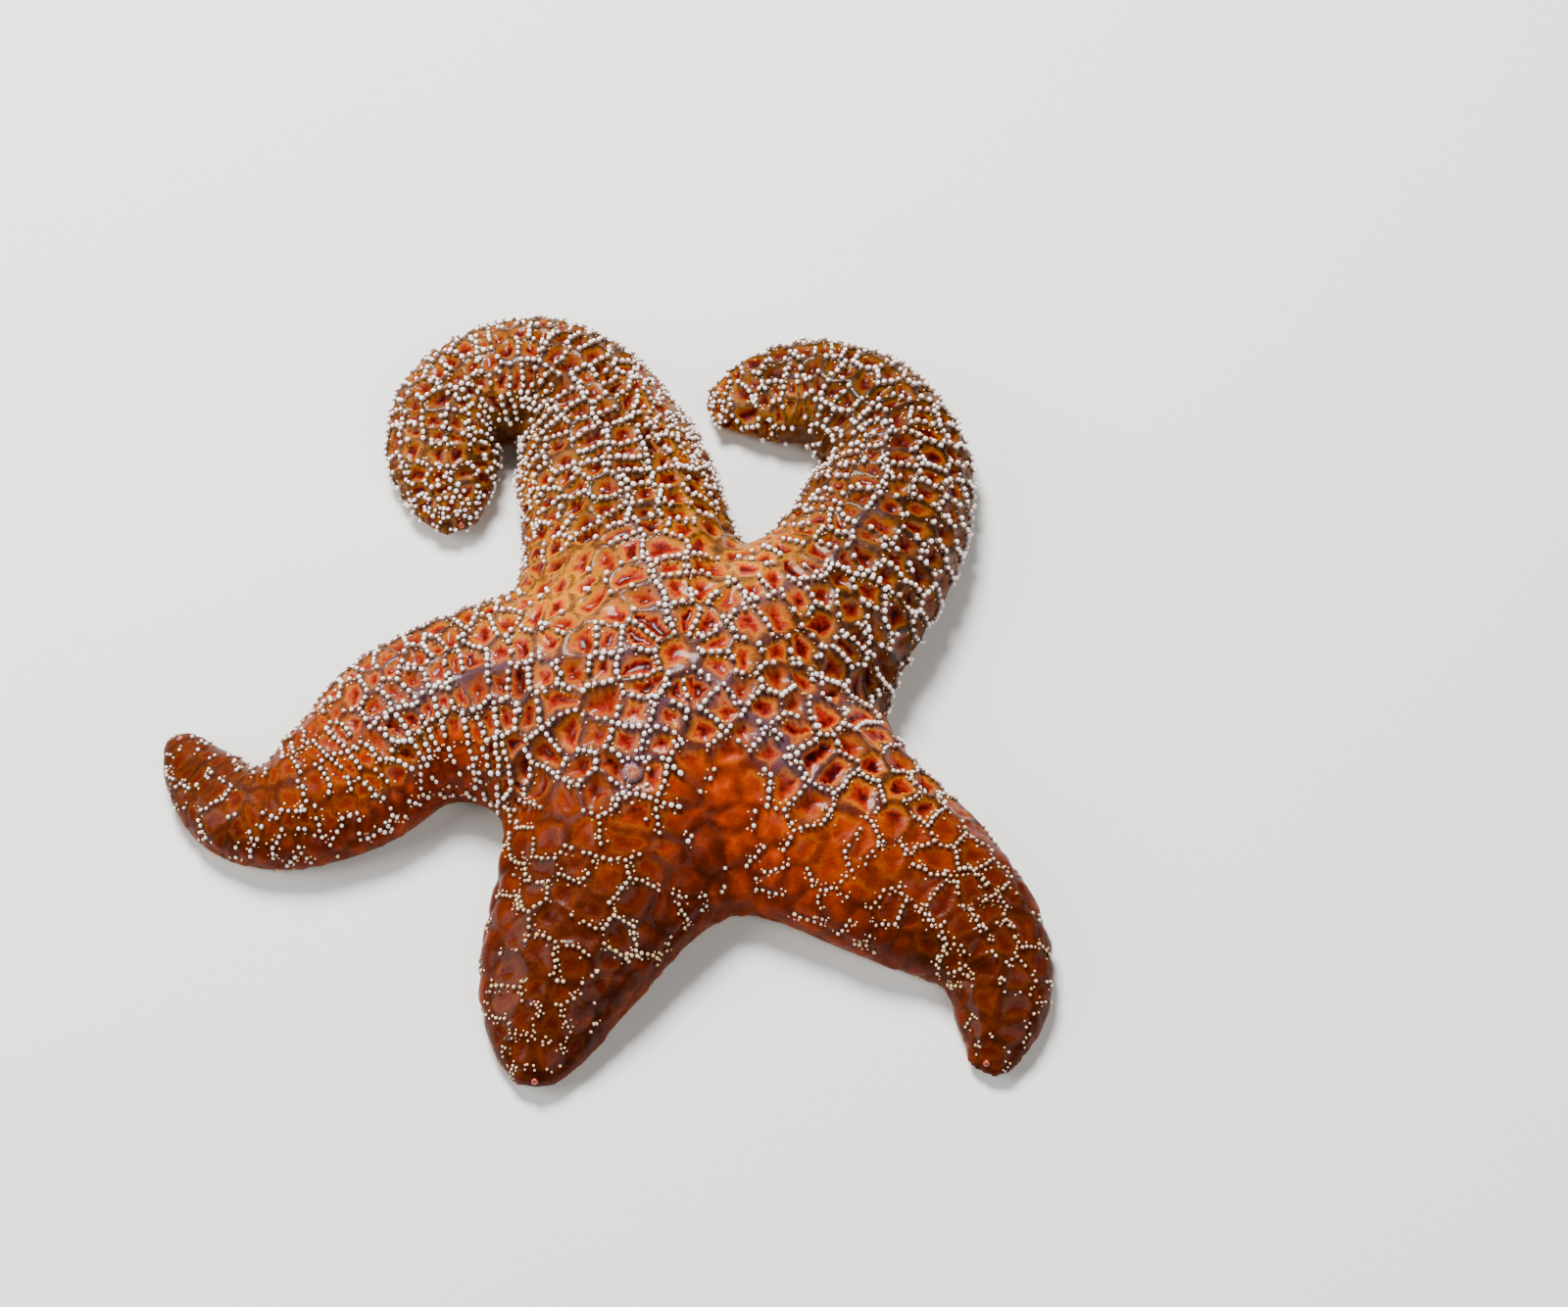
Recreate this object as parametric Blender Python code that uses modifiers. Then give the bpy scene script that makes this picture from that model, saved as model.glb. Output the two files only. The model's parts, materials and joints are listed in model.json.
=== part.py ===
"""Ochre sea star at life size, resting on a flat floor with its two back arms curled.

Metres, +Z up, +X to the right and +Y away from the viewer. The origin is the bottom centre of the whole
animal. The body is one soft form, a coarse cage under Subdivision Surface, that is flattened where it
rests and parted with thin cuts into the disc and the lengths of the five arms. The outline reaches out to
the tips of the spines.
"""

import bisect
import math
from typing import NamedTuple

import bmesh
import bpy
from mathutils import Matrix, Vector

MM = 0.001

# Driving dimensions, in millimetres and degrees
DISC_TOP = 35.0  # height of the disc
BEND_START = 32.0  # distance from the centre at which an arm may start to turn
DISC_EDGE = 46.0  # distance from the centre at which the disc ends and an arm begins
ROOT_HEIGHT = 31.0  # height of an arm, carried back to the centre
STATION_STEP = 11.0  # distance between the cage's rings along an arm
LAST_RINGS = (0.975, 0.997)  # share of the arm's reach, at the round tip
FINE_STEPS = 200  # in measuring out those distances
BEND_WEIGHT = 9.0  # a turn of one radian brings in as many rings as this much length
SUNK = -2.0  # the cage's underside, below the floor that later trims it flat
GROOVE_HALF = 4.6  # half the width of the groove under an arm
GROOVE_ROOF = 8.5
GROOVE_NARROWS = 0.4  # share of its width that the groove loses by the tip
GROOVE_SINKS = 0.35  # share of its height that it loses by the tip
SIDE_CLEAR = 0.4  # the side stays at least this far above the underside
TIP_START = 0.8  # share of the reach at which the groove begins to close
MOUTH_RADIUS = 9.0
MOUTH_ROOF = 6.0
GAP = 0.3  # left between neighbouring pieces
EDGE_CUT_HALF = 35.0  # half the length of the cut between the disc and an arm
ARM_CUT_SPARE = 4.0  # how far a cut across an arm runs past its sides, less inside a bend
TIP_LIFT = 2.2  # how far the very tip is raised off the floor
NOTCH_INSET = 4.0  # how far a notch's foot lies inside its side
DOME_SHARES = (0.72, 0.38)  # rings of the disc's top, as shares of the distance to the roots
DOME_POWER = 2.6  # how flat the disc's top stays before it falls to the roots

# Half an arm's section, from its ridge down its side: share of the half width, share of the height
FLANK = ((0.0, 1.03), (0.50, 0.95), (0.88, 0.68), (1.07, 0.28))
FOOT = 0.88  # share of the half width at which the side turns under


class Arm(NamedTuple):
    name: str
    heading: float  # degrees, anticlockwise from +X
    reach: float  # along the arm's middle, from the centre to the tip
    root_half: float  # half the width, carried back to the centre
    tip_half: float  # half the width, carried out to the tip, which is round
    tip_height: float
    bluntness: float  # power of the reach at which the tip rounds off
    turns: tuple  # degrees of turn in each of five equal lengths, anticlockwise positive
    cuts: tuple  # where the arm is divided, along its middle


# Anticlockwise, starting at the right
ARMS = (
    Arm("back_right", 38, 137, 26.5, 17.5, 15, 7, (22, 20, 50, 54, 38), (83, 112)),
    Arm("back_left", 106, 145, 29.0, 17.0, 16, 8, (0, 13, 73, 80, 24), (79, 111)),
    Arm("left", 179, 131, 31.0, 14.0, 13, 5, (20, 24, -24, -66, -28), (86,)),
    Arm("front_left", 250, 96, 29.0, 19.0, 16, 5, (-6, 3, 3, 12, 10), (72,)),
    Arm("front_right", 318, 119, 33.0, 14.5, 13, 5, (5, 0, -15, -43, -28), (82,)),
)
# The notch after each arm of ARMS: its distance from the centre
NOTCHES = (44.5, 49.0, 50.0, 52.0, 46.5)
LENGTHS = {2: ("root", "tip"), 3: ("root", "middle", "tip")}

# The sieve plate beside the disc's middle, and the eye spot at the end of each arm, at the skin's depth
PLATE_AT = (-9.5, -27.0)
PLATE_SIZE = (2.6, 2.6, 0.75)
PLATE_DEPTH = 1.05
EYE_SIZE = (0.85, 0.85, 0.85)
EYE_HEIGHT = 5.5
EYE_DEPTH = 1.3
EYE_RUN_UP = 8.0  # how far outside the tip the search for its surface starts

# The soft mouth
MOUTH_SIZE = (3.6, 3.6, 1.0)
MOUTH_HEIGHT = 2.9

# The tube feet under an arm, as one bed
BED_START = 14.0
BED_END = 0.86  # share of the arm's reach
BED_STEP = 6.0
BED_HALF = 2.5
BED_TOP = 3.2
BED_SHOULDER = 0.62  # width of its top, as a share of its foot


def smooth(value):
    value = min(max(value, 0.0), 1.0)
    return value * value * (3 - 2 * value)


def heading_at(arm, along):
    """The arm's direction in radians at a distance along its middle."""
    bay = (arm.reach - BEND_START) / len(arm.turns)
    turned = sum(turn * smooth((along - BEND_START) / bay - i) for i, turn in enumerate(arm.turns))
    return math.radians(arm.heading + turned)


def place_at(arm, along):
    """The arm's middle in plan, and its direction there."""
    steps = max(1, round(along))
    step = along / steps
    spot = Vector((0.0, 0.0))
    for i in range(steps):
        heading = heading_at(arm, (i + 0.5) * step)
        spot += step * Vector((math.cos(heading), math.sin(heading)))
    return spot, heading_at(arm, along)


def half_width(arm, along):
    t = along / arm.reach
    return (arm.root_half + (arm.tip_half - arm.root_half) * t) * math.sqrt(max(1 - t**arm.bluntness, 0.0))


def height(arm, along):
    t = along / arm.reach
    return (ROOT_HEIGHT + (arm.tip_height - ROOT_HEIGHT) * t) * math.sqrt(max(1 - t**arm.bluntness, 0.0))


def inner_share(arm, along, side):
    """How much of its width the inside of a bend keeps. side is 1 on the left, -1 on the right."""
    curve = heading_at(arm, along + 1) - heading_at(arm, along - 1)
    crowd = max(0.0, side * curve / 2) * half_width(arm, along)
    return 1 / math.sqrt(1 + crowd * crowd)


def across(spot, heading, sideways, up):
    """A point beside the arm's middle, in metres."""
    x = spot.x - math.sin(heading) * sideways
    y = spot.y + math.cos(heading) * sideways
    return Vector((x, y, up)) * MM


def ring_points(arm, along):
    """One ring of the cage round an arm: ridge, left side, groove and right side."""
    spot, heading = place_at(arm, along)
    wide = half_width(arm, along)
    tall = height(arm, along)
    tip = smooth((along / arm.reach - TIP_START) / (1 - TIP_START))
    under = SUNK + (TIP_LIFT - SUNK) * tip
    groove = GROOVE_HALF * (1 - GROOVE_NARROWS * along / arm.reach) * (1 - 0.8 * tip)
    roof = under + (GROOVE_ROOF - SUNK) * (1 - GROOVE_SINKS * along / arm.reach) * (1 - tip)
    left, right = (wide * inner_share(arm, along, side) for side in (1, -1))
    lip = (min(groove, 0.5 * left), -min(groove, 0.5 * right))
    lowest = under + SIDE_CLEAR

    def side(half):
        return [across(spot, heading, share * half, max(rise * tall, lowest)) for share, rise in FLANK]

    ring = side(left)
    ring += [across(spot, heading, FOOT * left, under), across(spot, heading, lip[0], under)]
    ring += [across(spot, heading, 0, roof)]
    ring += [across(spot, heading, lip[1], under), across(spot, heading, -FOOT * right, under)]
    ring += side(-right)[:0:-1]
    return ring


def notch_heading(i):
    """The direction of the notch between arm i and the next one."""
    before, after = ARMS[i].heading, ARMS[(i + 1) % len(ARMS)].heading
    return math.radians(before + (after - before) % 360 / 2)


def root_of(i):
    """How far out arm i leaves the disc: level with its two notches."""
    arm = ARMS[i]
    reaches = []
    for j in (i, i - 1):
        apart = notch_heading(j) - math.radians(arm.heading)
        reaches.append(NOTCHES[j] * math.cos(apart))
    return sum(reaches) / 2


def stations(arm, start):
    """Where the cage has rings along an arm, closer together in a bend and at the round tip."""
    fine = [start + (arm.reach - start) * n / FINE_STEPS for n in range(FINE_STEPS + 1)]
    effort = [0.0]
    for a, b in zip(fine, fine[1:]):
        turn = abs(heading_at(arm, b) - heading_at(arm, a))
        effort.append(effort[-1] + (b - a) + BEND_WEIGHT * turn)
    count = round(effort[-1] / STATION_STEP)
    inner = [fine[bisect.bisect(effort, effort[-1] * n / count)] for n in range(1, count)]
    return [*inner, *(arm.reach * share for share in LAST_RINGS)]


def lerp(a, b, share):
    return a + (b - a) * share


def build_cage():
    """The whole body as one coarse mesh."""
    cage = bmesh.new()
    side_rise = FLANK[3][1]

    # The notches, shared by the arms on both sides of them
    notch_side, notch_foot = [], []
    for j, radius in enumerate(NOTCHES):
        out = Vector((math.cos(notch_heading(j)), math.sin(notch_heading(j)), 0))
        tall = height(ARMS[j], radius)
        notch_side.append(cage.verts.new((out * radius + Vector((0, 0, side_rise * tall))) * MM))
        notch_foot.append(cage.verts.new((out * (radius - NOTCH_INSET) + Vector((0, 0, SUNK))) * MM))

    roots = []
    for i, arm in enumerate(ARMS):
        start = root_of(i)
        points = ring_points(arm, start)
        left, right = notch_side[i].co, notch_side[i - 1].co
        middle = points[0].copy()
        for k, (share, _) in enumerate(FLANK[1:3], 1):
            for index, side in ((k, left), (12 - k, right)):
                flat = lerp(middle, side, share / FLANK[3][0])
                points[index] = Vector((flat.x, flat.y, points[index].z))
        shared = {3: notch_side[i], 4: notch_foot[i], 8: notch_foot[i - 1], 9: notch_side[i - 1]}
        ring = [shared.get(k) or cage.verts.new(points[k]) for k in range(12)]
        roots.append(ring)

        for along in stations(arm, start):
            onward = [cage.verts.new(point) for point in ring_points(arm, along)]
            for k in range(12):
                cage.faces.new((ring[k], ring[(k + 1) % 12], onward[(k + 1) % 12], onward[k]))
            ring = onward
        cage.faces.new(ring)

    # Above: rings of the dome from the roots in to the middle
    outer = []
    for i, ring in enumerate(roots):
        outer += [ring[k] for k in (9, 10, 11, 0, 1, 2)]
    apex = Vector((0, 0, DISC_TOP)) * MM
    for share in DOME_SHARES:
        inner = []
        for i, vertex in enumerate(outer):
            root = roots[i // 6][(9, 10, 11, 0, 1, 2)[i % 6]].co
            rise = lerp(apex.z, root.z, share**DOME_POWER)
            inner.append(cage.verts.new((root.x * share, root.y * share, rise)))
        for i in range(len(outer)):
            j = (i + 1) % len(outer)
            cage.faces.new((outer[j], outer[i], inner[i], inner[j]))
        outer = inner
    crown = cage.verts.new(apex)
    for i in range(0, len(outer), 2):
        cage.faces.new((outer[(i + 2) % len(outer)], outer[(i + 1) % len(outer)], outer[i], crown))

    # Beneath: the five grooves run in to the mouth
    outer = []
    for i, ring in enumerate(roots):
        outer += [ring[k] for k in (8, 7, 6, 5)]
    rings = (
        (MOUTH_RADIUS + 8, 0.95, SUNK, SUNK, GROOVE_ROOF),
        (MOUTH_RADIUS, 0.62, SUNK, SUNK, MOUTH_ROOF),
        (MOUTH_RADIUS - 4, 0.45, MOUTH_ROOF - 2, MOUTH_ROOF - 2, MOUTH_ROOF - 1),
    )
    for radius, groove, jaw, lip, roof in rings:
        inner = []
        for i, arm in enumerate(ARMS):
            facing = math.radians(arm.heading)
            middle = radius * Vector((math.cos(facing), math.sin(facing)))
            corner = notch_heading(i - 1)
            tooth = Vector((math.cos(corner) * radius, math.sin(corner) * radius, jaw)) * MM
            inner.append(cage.verts.new(tooth))
            for sideways, up in ((-groove, lip), (0, roof), (groove, lip)):
                inner.append(cage.verts.new(across(middle, facing, sideways * GROOVE_HALF, up)))
        for i in range(len(outer)):
            j = (i + 1) % len(outer)
            cage.faces.new((outer[i], outer[j], inner[j], inner[i]))
        outer = inner
    palate = cage.verts.new(Vector((0, 0, MOUTH_ROOF)) * MM)
    for i in range(0, len(outer), 2):
        cage.faces.new((outer[i], outer[(i + 1) % len(outer)], outer[(i + 2) % len(outer)], palate))
    return cage


def collection_named(name):
    group = bpy.data.collections.new(name)
    bpy.context.scene.collection.children.link(group)
    return group


def finish(name, color, roughness):
    """A plain surface material."""
    material = bpy.data.materials.new(name)
    material.use_nodes = True
    shader = material.node_tree.nodes["Principled BSDF"]
    shader.inputs["Base Color"].default_value = (*color, 1)
    shader.inputs["Roughness"].default_value = roughness
    shader.inputs["Metallic"].default_value = 0.0
    return material


def object_from(name, cage, group):
    bmesh.ops.recalc_face_normals(cage, faces=cage.faces)
    mesh = bpy.data.meshes.new(name)
    cage.to_mesh(mesh)
    cage.free()
    made = bpy.data.objects.new(name, mesh)
    group.objects.link(made)
    return made


def as_helper(made):
    made.hide_render = True
    made.display_type = "WIRE"
    return made


def box_cutter(name, group, centre, size, turn=0.0):
    """A box in millimetres, turned about Z."""
    block = bmesh.new()
    bmesh.ops.create_cube(block, size=1)
    bmesh.ops.scale(block, vec=Vector(size) * MM, verts=block.verts)
    made = as_helper(object_from(name, block, group))
    made.location = Vector(centre) * MM
    made.rotation_euler.z = turn
    return made


def ball(name, group, place, size, facing=(0, 0, 1), segments=8, rings=6):
    """A round piece squashed along the direction it faces."""
    form = bmesh.new()
    bmesh.ops.create_uvsphere(form, u_segments=segments, v_segments=rings, radius=1)
    bmesh.ops.scale(form, vec=Vector(size) * MM, verts=form.verts)
    turn = Vector(facing).to_track_quat("Z", "Y").to_matrix()
    bmesh.ops.rotate(form, matrix=turn, verts=form.verts)
    made = object_from(name, form, group)
    made.data.shade_smooth()
    made.location = place
    return made


def cut_away(made, cutter):
    boolean = made.modifiers.new("cut " + cutter.name, "BOOLEAN")
    boolean.operation = "DIFFERENCE"
    boolean.object = cutter
    boolean.solver = "MANIFOLD"  # EXACT leaves slivers where a thin cut meets the flat underside


def build_body(cutters):
    """The soft form, flat where it rests."""
    body = as_helper(object_from("body", build_cage(), cutters))
    rounding = body.modifiers.new("rounding", "SUBSURF")
    rounding.levels = rounding.render_levels = 1
    cut_away(body, box_cutter("floor_cutter", cutters, (0, 0, -20), (400, 400, 40)))
    return body


def build_bed(arm, group):
    """The bed of tube feet in the groove: a loft that narrows to both ends."""
    bed = bmesh.new()
    end = arm.reach * BED_END
    count = round((end - BED_START) / BED_STEP)
    last = None
    for n in range(count + 1):
        along = BED_START + (end - BED_START) * n / count
        spot, heading = place_at(arm, along)
        narrow = min(inner_share(arm, along, 1), inner_share(arm, along, -1))
        narrow *= (1 - GROOVE_NARROWS * along / arm.reach) * min(1, 0.45 + 0.11 * min(n, count - n))
        wide, top = BED_HALF * narrow, GAP + (BED_TOP - GAP) * narrow
        outline = ((wide, GAP), (BED_SHOULDER * wide, top), (-BED_SHOULDER * wide, top), (-wide, GAP))
        ring = [bed.verts.new(across(spot, heading, sideways, up)) for sideways, up in outline]
        if last:
            for k in range(4):
                bed.faces.new((last[k], last[(k + 1) % 4], ring[(k + 1) % 4], ring[k]))
        else:
            bed.faces.new(ring)
        last = ring
    bed.faces.new(last)
    return object_from(f"tube_feet_{arm.name}", bed, group)


def surface_hit(body, start, along):
    """Where a line first meets the body, and the direction the surface faces there."""
    ready = body.evaluated_get(bpy.context.evaluated_depsgraph_get())
    hit, place, facing, _ = ready.ray_cast(start, along)
    assert hit
    return place, facing


def sunk_piece(name, body, group, cutters, start, along, size, depth):
    """A small round piece that lies at the bottom of its own open pit in the body."""
    place, facing = surface_hit(body, start, along)
    middle = place - facing * depth * MM
    made = ball(name, group, middle, size, facing)
    pit = (size[0] + GAP, size[1] + GAP, depth + size[2] + GAP)
    cut_away(body, as_helper(ball(f"{name}_pit", cutters, middle, pit, facing)))
    return made


def cut_reach(arm, along, side):
    """How far a cut runs out from the arm's middle on one side."""
    if along == DISC_EDGE:
        return EDGE_CUT_HALF
    return inner_share(arm, along, side) * (half_width(arm, along) + ARM_CUT_SPARE)


def part_body(body, cutters, group):
    """Cuts the body into the disc and the lengths of the arms, each its own object."""
    for arm in ARMS:
        for along in (DISC_EDGE, *arm.cuts):
            spot, heading = place_at(arm, along)
            if along == DISC_EDGE:
                heading = math.radians(arm.heading)
                spot = DISC_EDGE * Vector((math.cos(heading), math.sin(heading)))
            left, right = (cut_reach(arm, along, side) for side in (1, -1))
            centre = across(spot, heading, (left - right) / 2, 20) / MM
            name = f"{arm.name}_cutter_{along:.0f}"
            cut_away(body, box_cutter(name, cutters, centre, (GAP, left + right, 60), heading))
    ready = body.evaluated_get(bpy.context.evaluated_depsgraph_get())
    whole = bpy.data.objects.new("whole", bpy.data.meshes.new_from_object(ready))
    group.objects.link(whole)
    bpy.ops.object.select_all(action="DESELECT")
    whole.select_set(True)
    bpy.context.view_layer.objects.active = whole
    bpy.ops.mesh.separate(type="LOOSE")
    pieces = list(bpy.context.selected_objects)

    wanted = {"disc": Vector((0, 0))}
    for arm in ARMS:
        bounds = (DISC_EDGE, *arm.cuts, arm.reach)
        for k, part in enumerate(LENGTHS[len(arm.cuts) + 1]):
            wanted[f"arm_{arm.name}_{part}"] = place_at(arm, (bounds[k] + bounds[k + 1]) / 2)[0]
    assert len(pieces) == len(wanted), [len(pieces), len(wanted)]
    named = {}
    for name, spot in wanted.items():
        nearest = min(pieces, key=lambda piece: (middle_of(piece).xy - spot * MM).length)
        nearest.name = nearest.data.name = name
        named[name] = nearest
    return named


def middle_of(piece):
    points = [vertex.co for vertex in piece.data.vertices]
    return sum(points, Vector()) / len(points)


def stand_on_origin(nodes):
    """Moves the animal so that the origin is the bottom centre of its box."""
    corners = [node.matrix_world @ vertex.co for node in nodes for vertex in node.data.vertices]
    low = Vector(min(corner[axis] for corner in corners) for axis in range(3))
    high = Vector(max(corner[axis] for corner in corners) for axis in range(3))
    offset = Vector(((low.x + high.x) / 2, (low.y + high.y) / 2, low.z))
    for node in nodes:
        node.location -= offset


def main():
    for old in list(bpy.data.objects):
        bpy.data.objects.remove(old)
    group = collection_named("ochre_sea_star")
    cutters = collection_named("cutters")

    body = build_body(cutters)
    above, down = Vector((*PLATE_AT, 100)) * MM, Vector((0, 0, -1))
    plate = sunk_piece("madreporite", body, group, cutters, above, down, PLATE_SIZE, PLATE_DEPTH)
    eyes = []
    for arm in ARMS:
        spot, heading = place_at(arm, arm.reach)
        outwards = Vector((math.cos(heading), math.sin(heading), 0))
        place = across(spot, heading, 0, EYE_HEIGHT) + outwards * EYE_RUN_UP * MM
        name = f"eyespot_{arm.name}"
        eyes.append(sunk_piece(name, body, group, cutters, place, -outwards, EYE_SIZE, EYE_DEPTH))

    skin = finish("sea_star_skin", (0.62, 0.16, 0.04), 0.35)
    nodes = part_body(body, cutters, group)
    for piece in nodes.values():
        piece.data.materials.clear()
        piece.data.materials.append(skin)
        piece.data.shade_smooth()

    mouth = ball("mouth", group, Vector((0, 0, MOUTH_HEIGHT)) * MM, MOUTH_SIZE, segments=12)
    mouth.data.materials.append(finish("mouth_membrane", (0.75, 0.45, 0.30), 0.4))
    plate.data.materials.append(finish("sieve_plate", (0.80, 0.52, 0.45), 0.5))
    spot_paint = finish("eye_spot", (0.45, 0.02, 0.02), 0.3)
    for eye in eyes:
        eye.data.materials.append(spot_paint)
    feet_paint = finish("tube_foot", (0.82, 0.55, 0.34), 0.35)
    beds = [build_bed(arm, group) for arm in ARMS]
    for bed in beds:
        bed.data.materials.append(feet_paint)

    bpy.context.view_layer.update()
    stand_on_origin([*nodes.values(), mouth, plate, *eyes, *beds])


main()
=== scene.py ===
"""Ochre sea star at life size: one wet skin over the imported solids, with its spines, tube feet and stage."""

import itertools
import json
import math
import random

import bpy
import numpy as np
from bpy.props import FloatProperty, FloatVectorProperty, PointerProperty
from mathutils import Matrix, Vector, noise
from mathutils.bvhtree import BVHTree
from mathutils.kdtree import KDTree

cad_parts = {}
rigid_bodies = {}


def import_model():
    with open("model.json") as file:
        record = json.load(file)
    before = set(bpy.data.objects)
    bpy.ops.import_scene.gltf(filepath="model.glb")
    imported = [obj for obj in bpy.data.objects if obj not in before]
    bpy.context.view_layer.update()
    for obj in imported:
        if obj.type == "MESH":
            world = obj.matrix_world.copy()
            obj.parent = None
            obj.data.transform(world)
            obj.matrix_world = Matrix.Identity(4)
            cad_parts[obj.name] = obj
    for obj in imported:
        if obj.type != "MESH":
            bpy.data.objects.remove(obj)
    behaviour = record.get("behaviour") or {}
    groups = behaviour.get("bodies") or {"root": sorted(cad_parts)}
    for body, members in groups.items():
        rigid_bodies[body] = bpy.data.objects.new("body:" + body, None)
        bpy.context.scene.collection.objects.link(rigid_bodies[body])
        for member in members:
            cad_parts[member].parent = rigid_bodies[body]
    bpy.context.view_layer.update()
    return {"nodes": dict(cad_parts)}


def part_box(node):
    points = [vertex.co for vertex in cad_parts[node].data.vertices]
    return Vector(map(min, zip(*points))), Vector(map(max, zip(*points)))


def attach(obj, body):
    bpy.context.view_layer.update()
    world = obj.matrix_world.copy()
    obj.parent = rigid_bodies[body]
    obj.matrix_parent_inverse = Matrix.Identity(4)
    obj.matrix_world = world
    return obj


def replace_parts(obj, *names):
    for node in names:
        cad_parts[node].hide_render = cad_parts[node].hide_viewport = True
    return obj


bl_info = {
    "name": "Ochre sea star",
    "version": (1, 0, 0),
    "blender": (4, 5, 0),
    "location": "View3D > Sidebar > Sea star",
    "description": "Skin, spines, tube feet and stage of a life-size ochre sea star",
    "category": "Object",
}

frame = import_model()

MM = 0.001
ARMS = ("back_right", "back_left", "left", "front_left", "front_right")
BACK_RIGHT, BACK_LEFT, LEFT, FRONT_LEFT, FRONT_RIGHT = range(5)
FLESH = [name for name in frame["nodes"] if name == "disc" or name.startswith("arm_")]
BED_STEP = 6.0  # mm between the rings of corners of a bed of tube feet

# how the flesh becomes one skin, in mm
SWOLLEN_SHUT = 0.32  # how far each part swells, so that the thin cuts between them close
CURLED_TIPS = ("arm_back_left_tip", "arm_back_right_tip")
BESIDE_TIPS = "arm_back_left_root"  # the arm that both curled tips nearly touch
EASED = 5.0  # how close to that arm a curled tip is drawn away, so that their skins don't run together
LOWEST = 0.55  # of the skin, which stands on the short spines of the belly

# the cells between the plates: their length along each arm and width across it at its root, in mm, in ARMS' order
CELL_LENGTHS = np.array([4.9, 4.9, 4.7, 7.6, 7.6])
CELL_WIDTHS = np.array([8.6, 8.6, 9.0, 10.0, 10.0])
LENGTH_TAPER, WIDTH_TAPER = 0.22, 0.42  # how much smaller they are at the tip
DISC_CELL = 7.3  # mm across on the disc, where the plates lie as polygons and not in rows
DISC_EDGE = 32.0  # mm from its centre, where the rows begin

# the underside, in mm
BELOW, UPWARD = -5.0, Vector((0, 0, 1))  # where a line of sight at the underside starts, and its way
FEET_FROM = 11.0  # along an arm, of its first tube feet
GROOVE_HALF, GROOVE_LIP = 3.3, 4.6  # from a groove's middle to its outer feet and to its lip, at the arm's root
GROOVE_TAPER = 0.4  # how much narrower it is at the tip

# how much each arm darkens, in ARMS' order: at its root, from what share of its length, over what share, at its
# tip; partly the arms' own darker colour and partly painted shade where the light falls off towards the front
# arms' tips
DUSK_AND_SHADE = np.array([
    (0.86, 0.15, 0.60, 1.10),
    (0.88, 0.60, 0.40, 0.95),
    (0.42, 0.35, 0.60, 1.15),
    (0.05, 0.08, 0.66, 1.25),
    (0.05, 0.16, 0.84, 1.35),
])


# ---------------------------------------------------------------- colour, arrays and meshes


def linear(code):
    """An sRGB hex colour as linear red, green and blue."""
    parts = [int(code[i : i + 2], 16) / 255 for i in (1, 3, 5)]
    return tuple(part / 12.92 if part <= 0.04045 else ((part + 0.055) / 1.055) ** 2.4 for part in parts)


def smooth(value):
    """0 up to 0 and 1 from 1, with a soft step between."""
    value = np.clip(value, 0.0, 1.0)
    return value * value * (3 - 2 * value)


def unit(rows):
    """Rows of numbers as directions of length 1."""
    return rows / np.maximum(np.linalg.norm(rows, axis=-1, keepdims=True), 1e-9)


def patchy(points, size, seed):
    """Smooth noise from -1 to 1 at each point, with patches about size mm across."""
    shift = Vector((seed * 7.31, seed * 3.17, seed * 1.93))
    return np.array([noise.noise(Vector(point) / size + shift) for point in points])


def deselect():
    """Leaves nothing selected, so that the next operator acts on its own piece alone."""
    bpy.ops.object.select_all(action="DESELECT")


def centre_of(node):
    """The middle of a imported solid's box, in mm."""
    low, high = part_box(node)
    return np.array((low + high) / 2) / MM


def finder_of(points):
    """Finds the nearest of some points."""
    tree = KDTree(len(points))
    for index, point in enumerate(points):
        tree.insert(point, index)
    tree.balance()
    return tree


def make_active(piece):
    """Selects one piece alone for the operators."""
    deselect()
    piece.select_set(True)
    bpy.context.view_layer.objects.active = piece


def apply_modifier(piece, kind, **settings):
    """Adds a modifier with its settings and applies it."""
    made = piece.modifiers.new(kind.lower(), kind)
    for key, value in settings.items():
        setattr(made, key, value)
    make_active(piece)
    bpy.ops.object.modifier_apply(modifier=made.name)


def corners_of(mesh):
    """The places of a mesh's vertices, in mm."""
    flat = np.empty(len(mesh.vertices) * 3)
    mesh.vertices.foreach_get("co", flat)
    return flat.reshape(-1, 3) / MM


def normals_of(mesh):
    """The outward directions at a mesh's vertices."""
    flat = np.empty(len(mesh.vertices) * 3)
    mesh.vertices.foreach_get("normal", flat)
    return flat.reshape(-1, 3)


def set_corners(mesh, points):
    """Moves a mesh's vertices to places in mm."""
    mesh.vertices.foreach_set("co", (points * MM).ravel())
    mesh.update()


def set_value(mesh, name, values):
    """Stores one number per vertex, for the materials."""
    field = mesh.attributes.new(name, "FLOAT", "POINT")
    field.data.foreach_set("value", np.asarray(values, np.float32))


def around(values, window):
    """A running mean along the first axis that keeps both ends."""
    pad = window // 2
    padded = np.pad(values, ((pad, pad), (0, 0)), mode="edge")
    kernel = np.ones(window) / window
    return np.stack([np.convolve(padded[:, k], kernel, "valid") for k in range(values.shape[1])], axis=1)


class Shape:
    """A small form that is copied many times: its corners, faces and a flat layout of its surface."""

    def __init__(self, piece):
        mesh = piece.data
        self.corners = corners_of(mesh)
        self.loops = np.empty(len(mesh.loops), int)
        mesh.loops.foreach_get("vertex_index", self.loops)
        self.starts = np.empty(len(mesh.polygons), int)
        mesh.polygons.foreach_get("loop_start", self.starts)
        spread = unit(self.corners)
        out = np.linalg.norm(spread[:, :2], axis=1)
        lean = np.arctan2(out, spread[:, 2]) / math.pi
        self.layout = 0.5 * spread[:, :2] / np.maximum(out, 1e-6)[:, None] * lean[:, None]
        bpy.data.objects.remove(piece)


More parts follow.
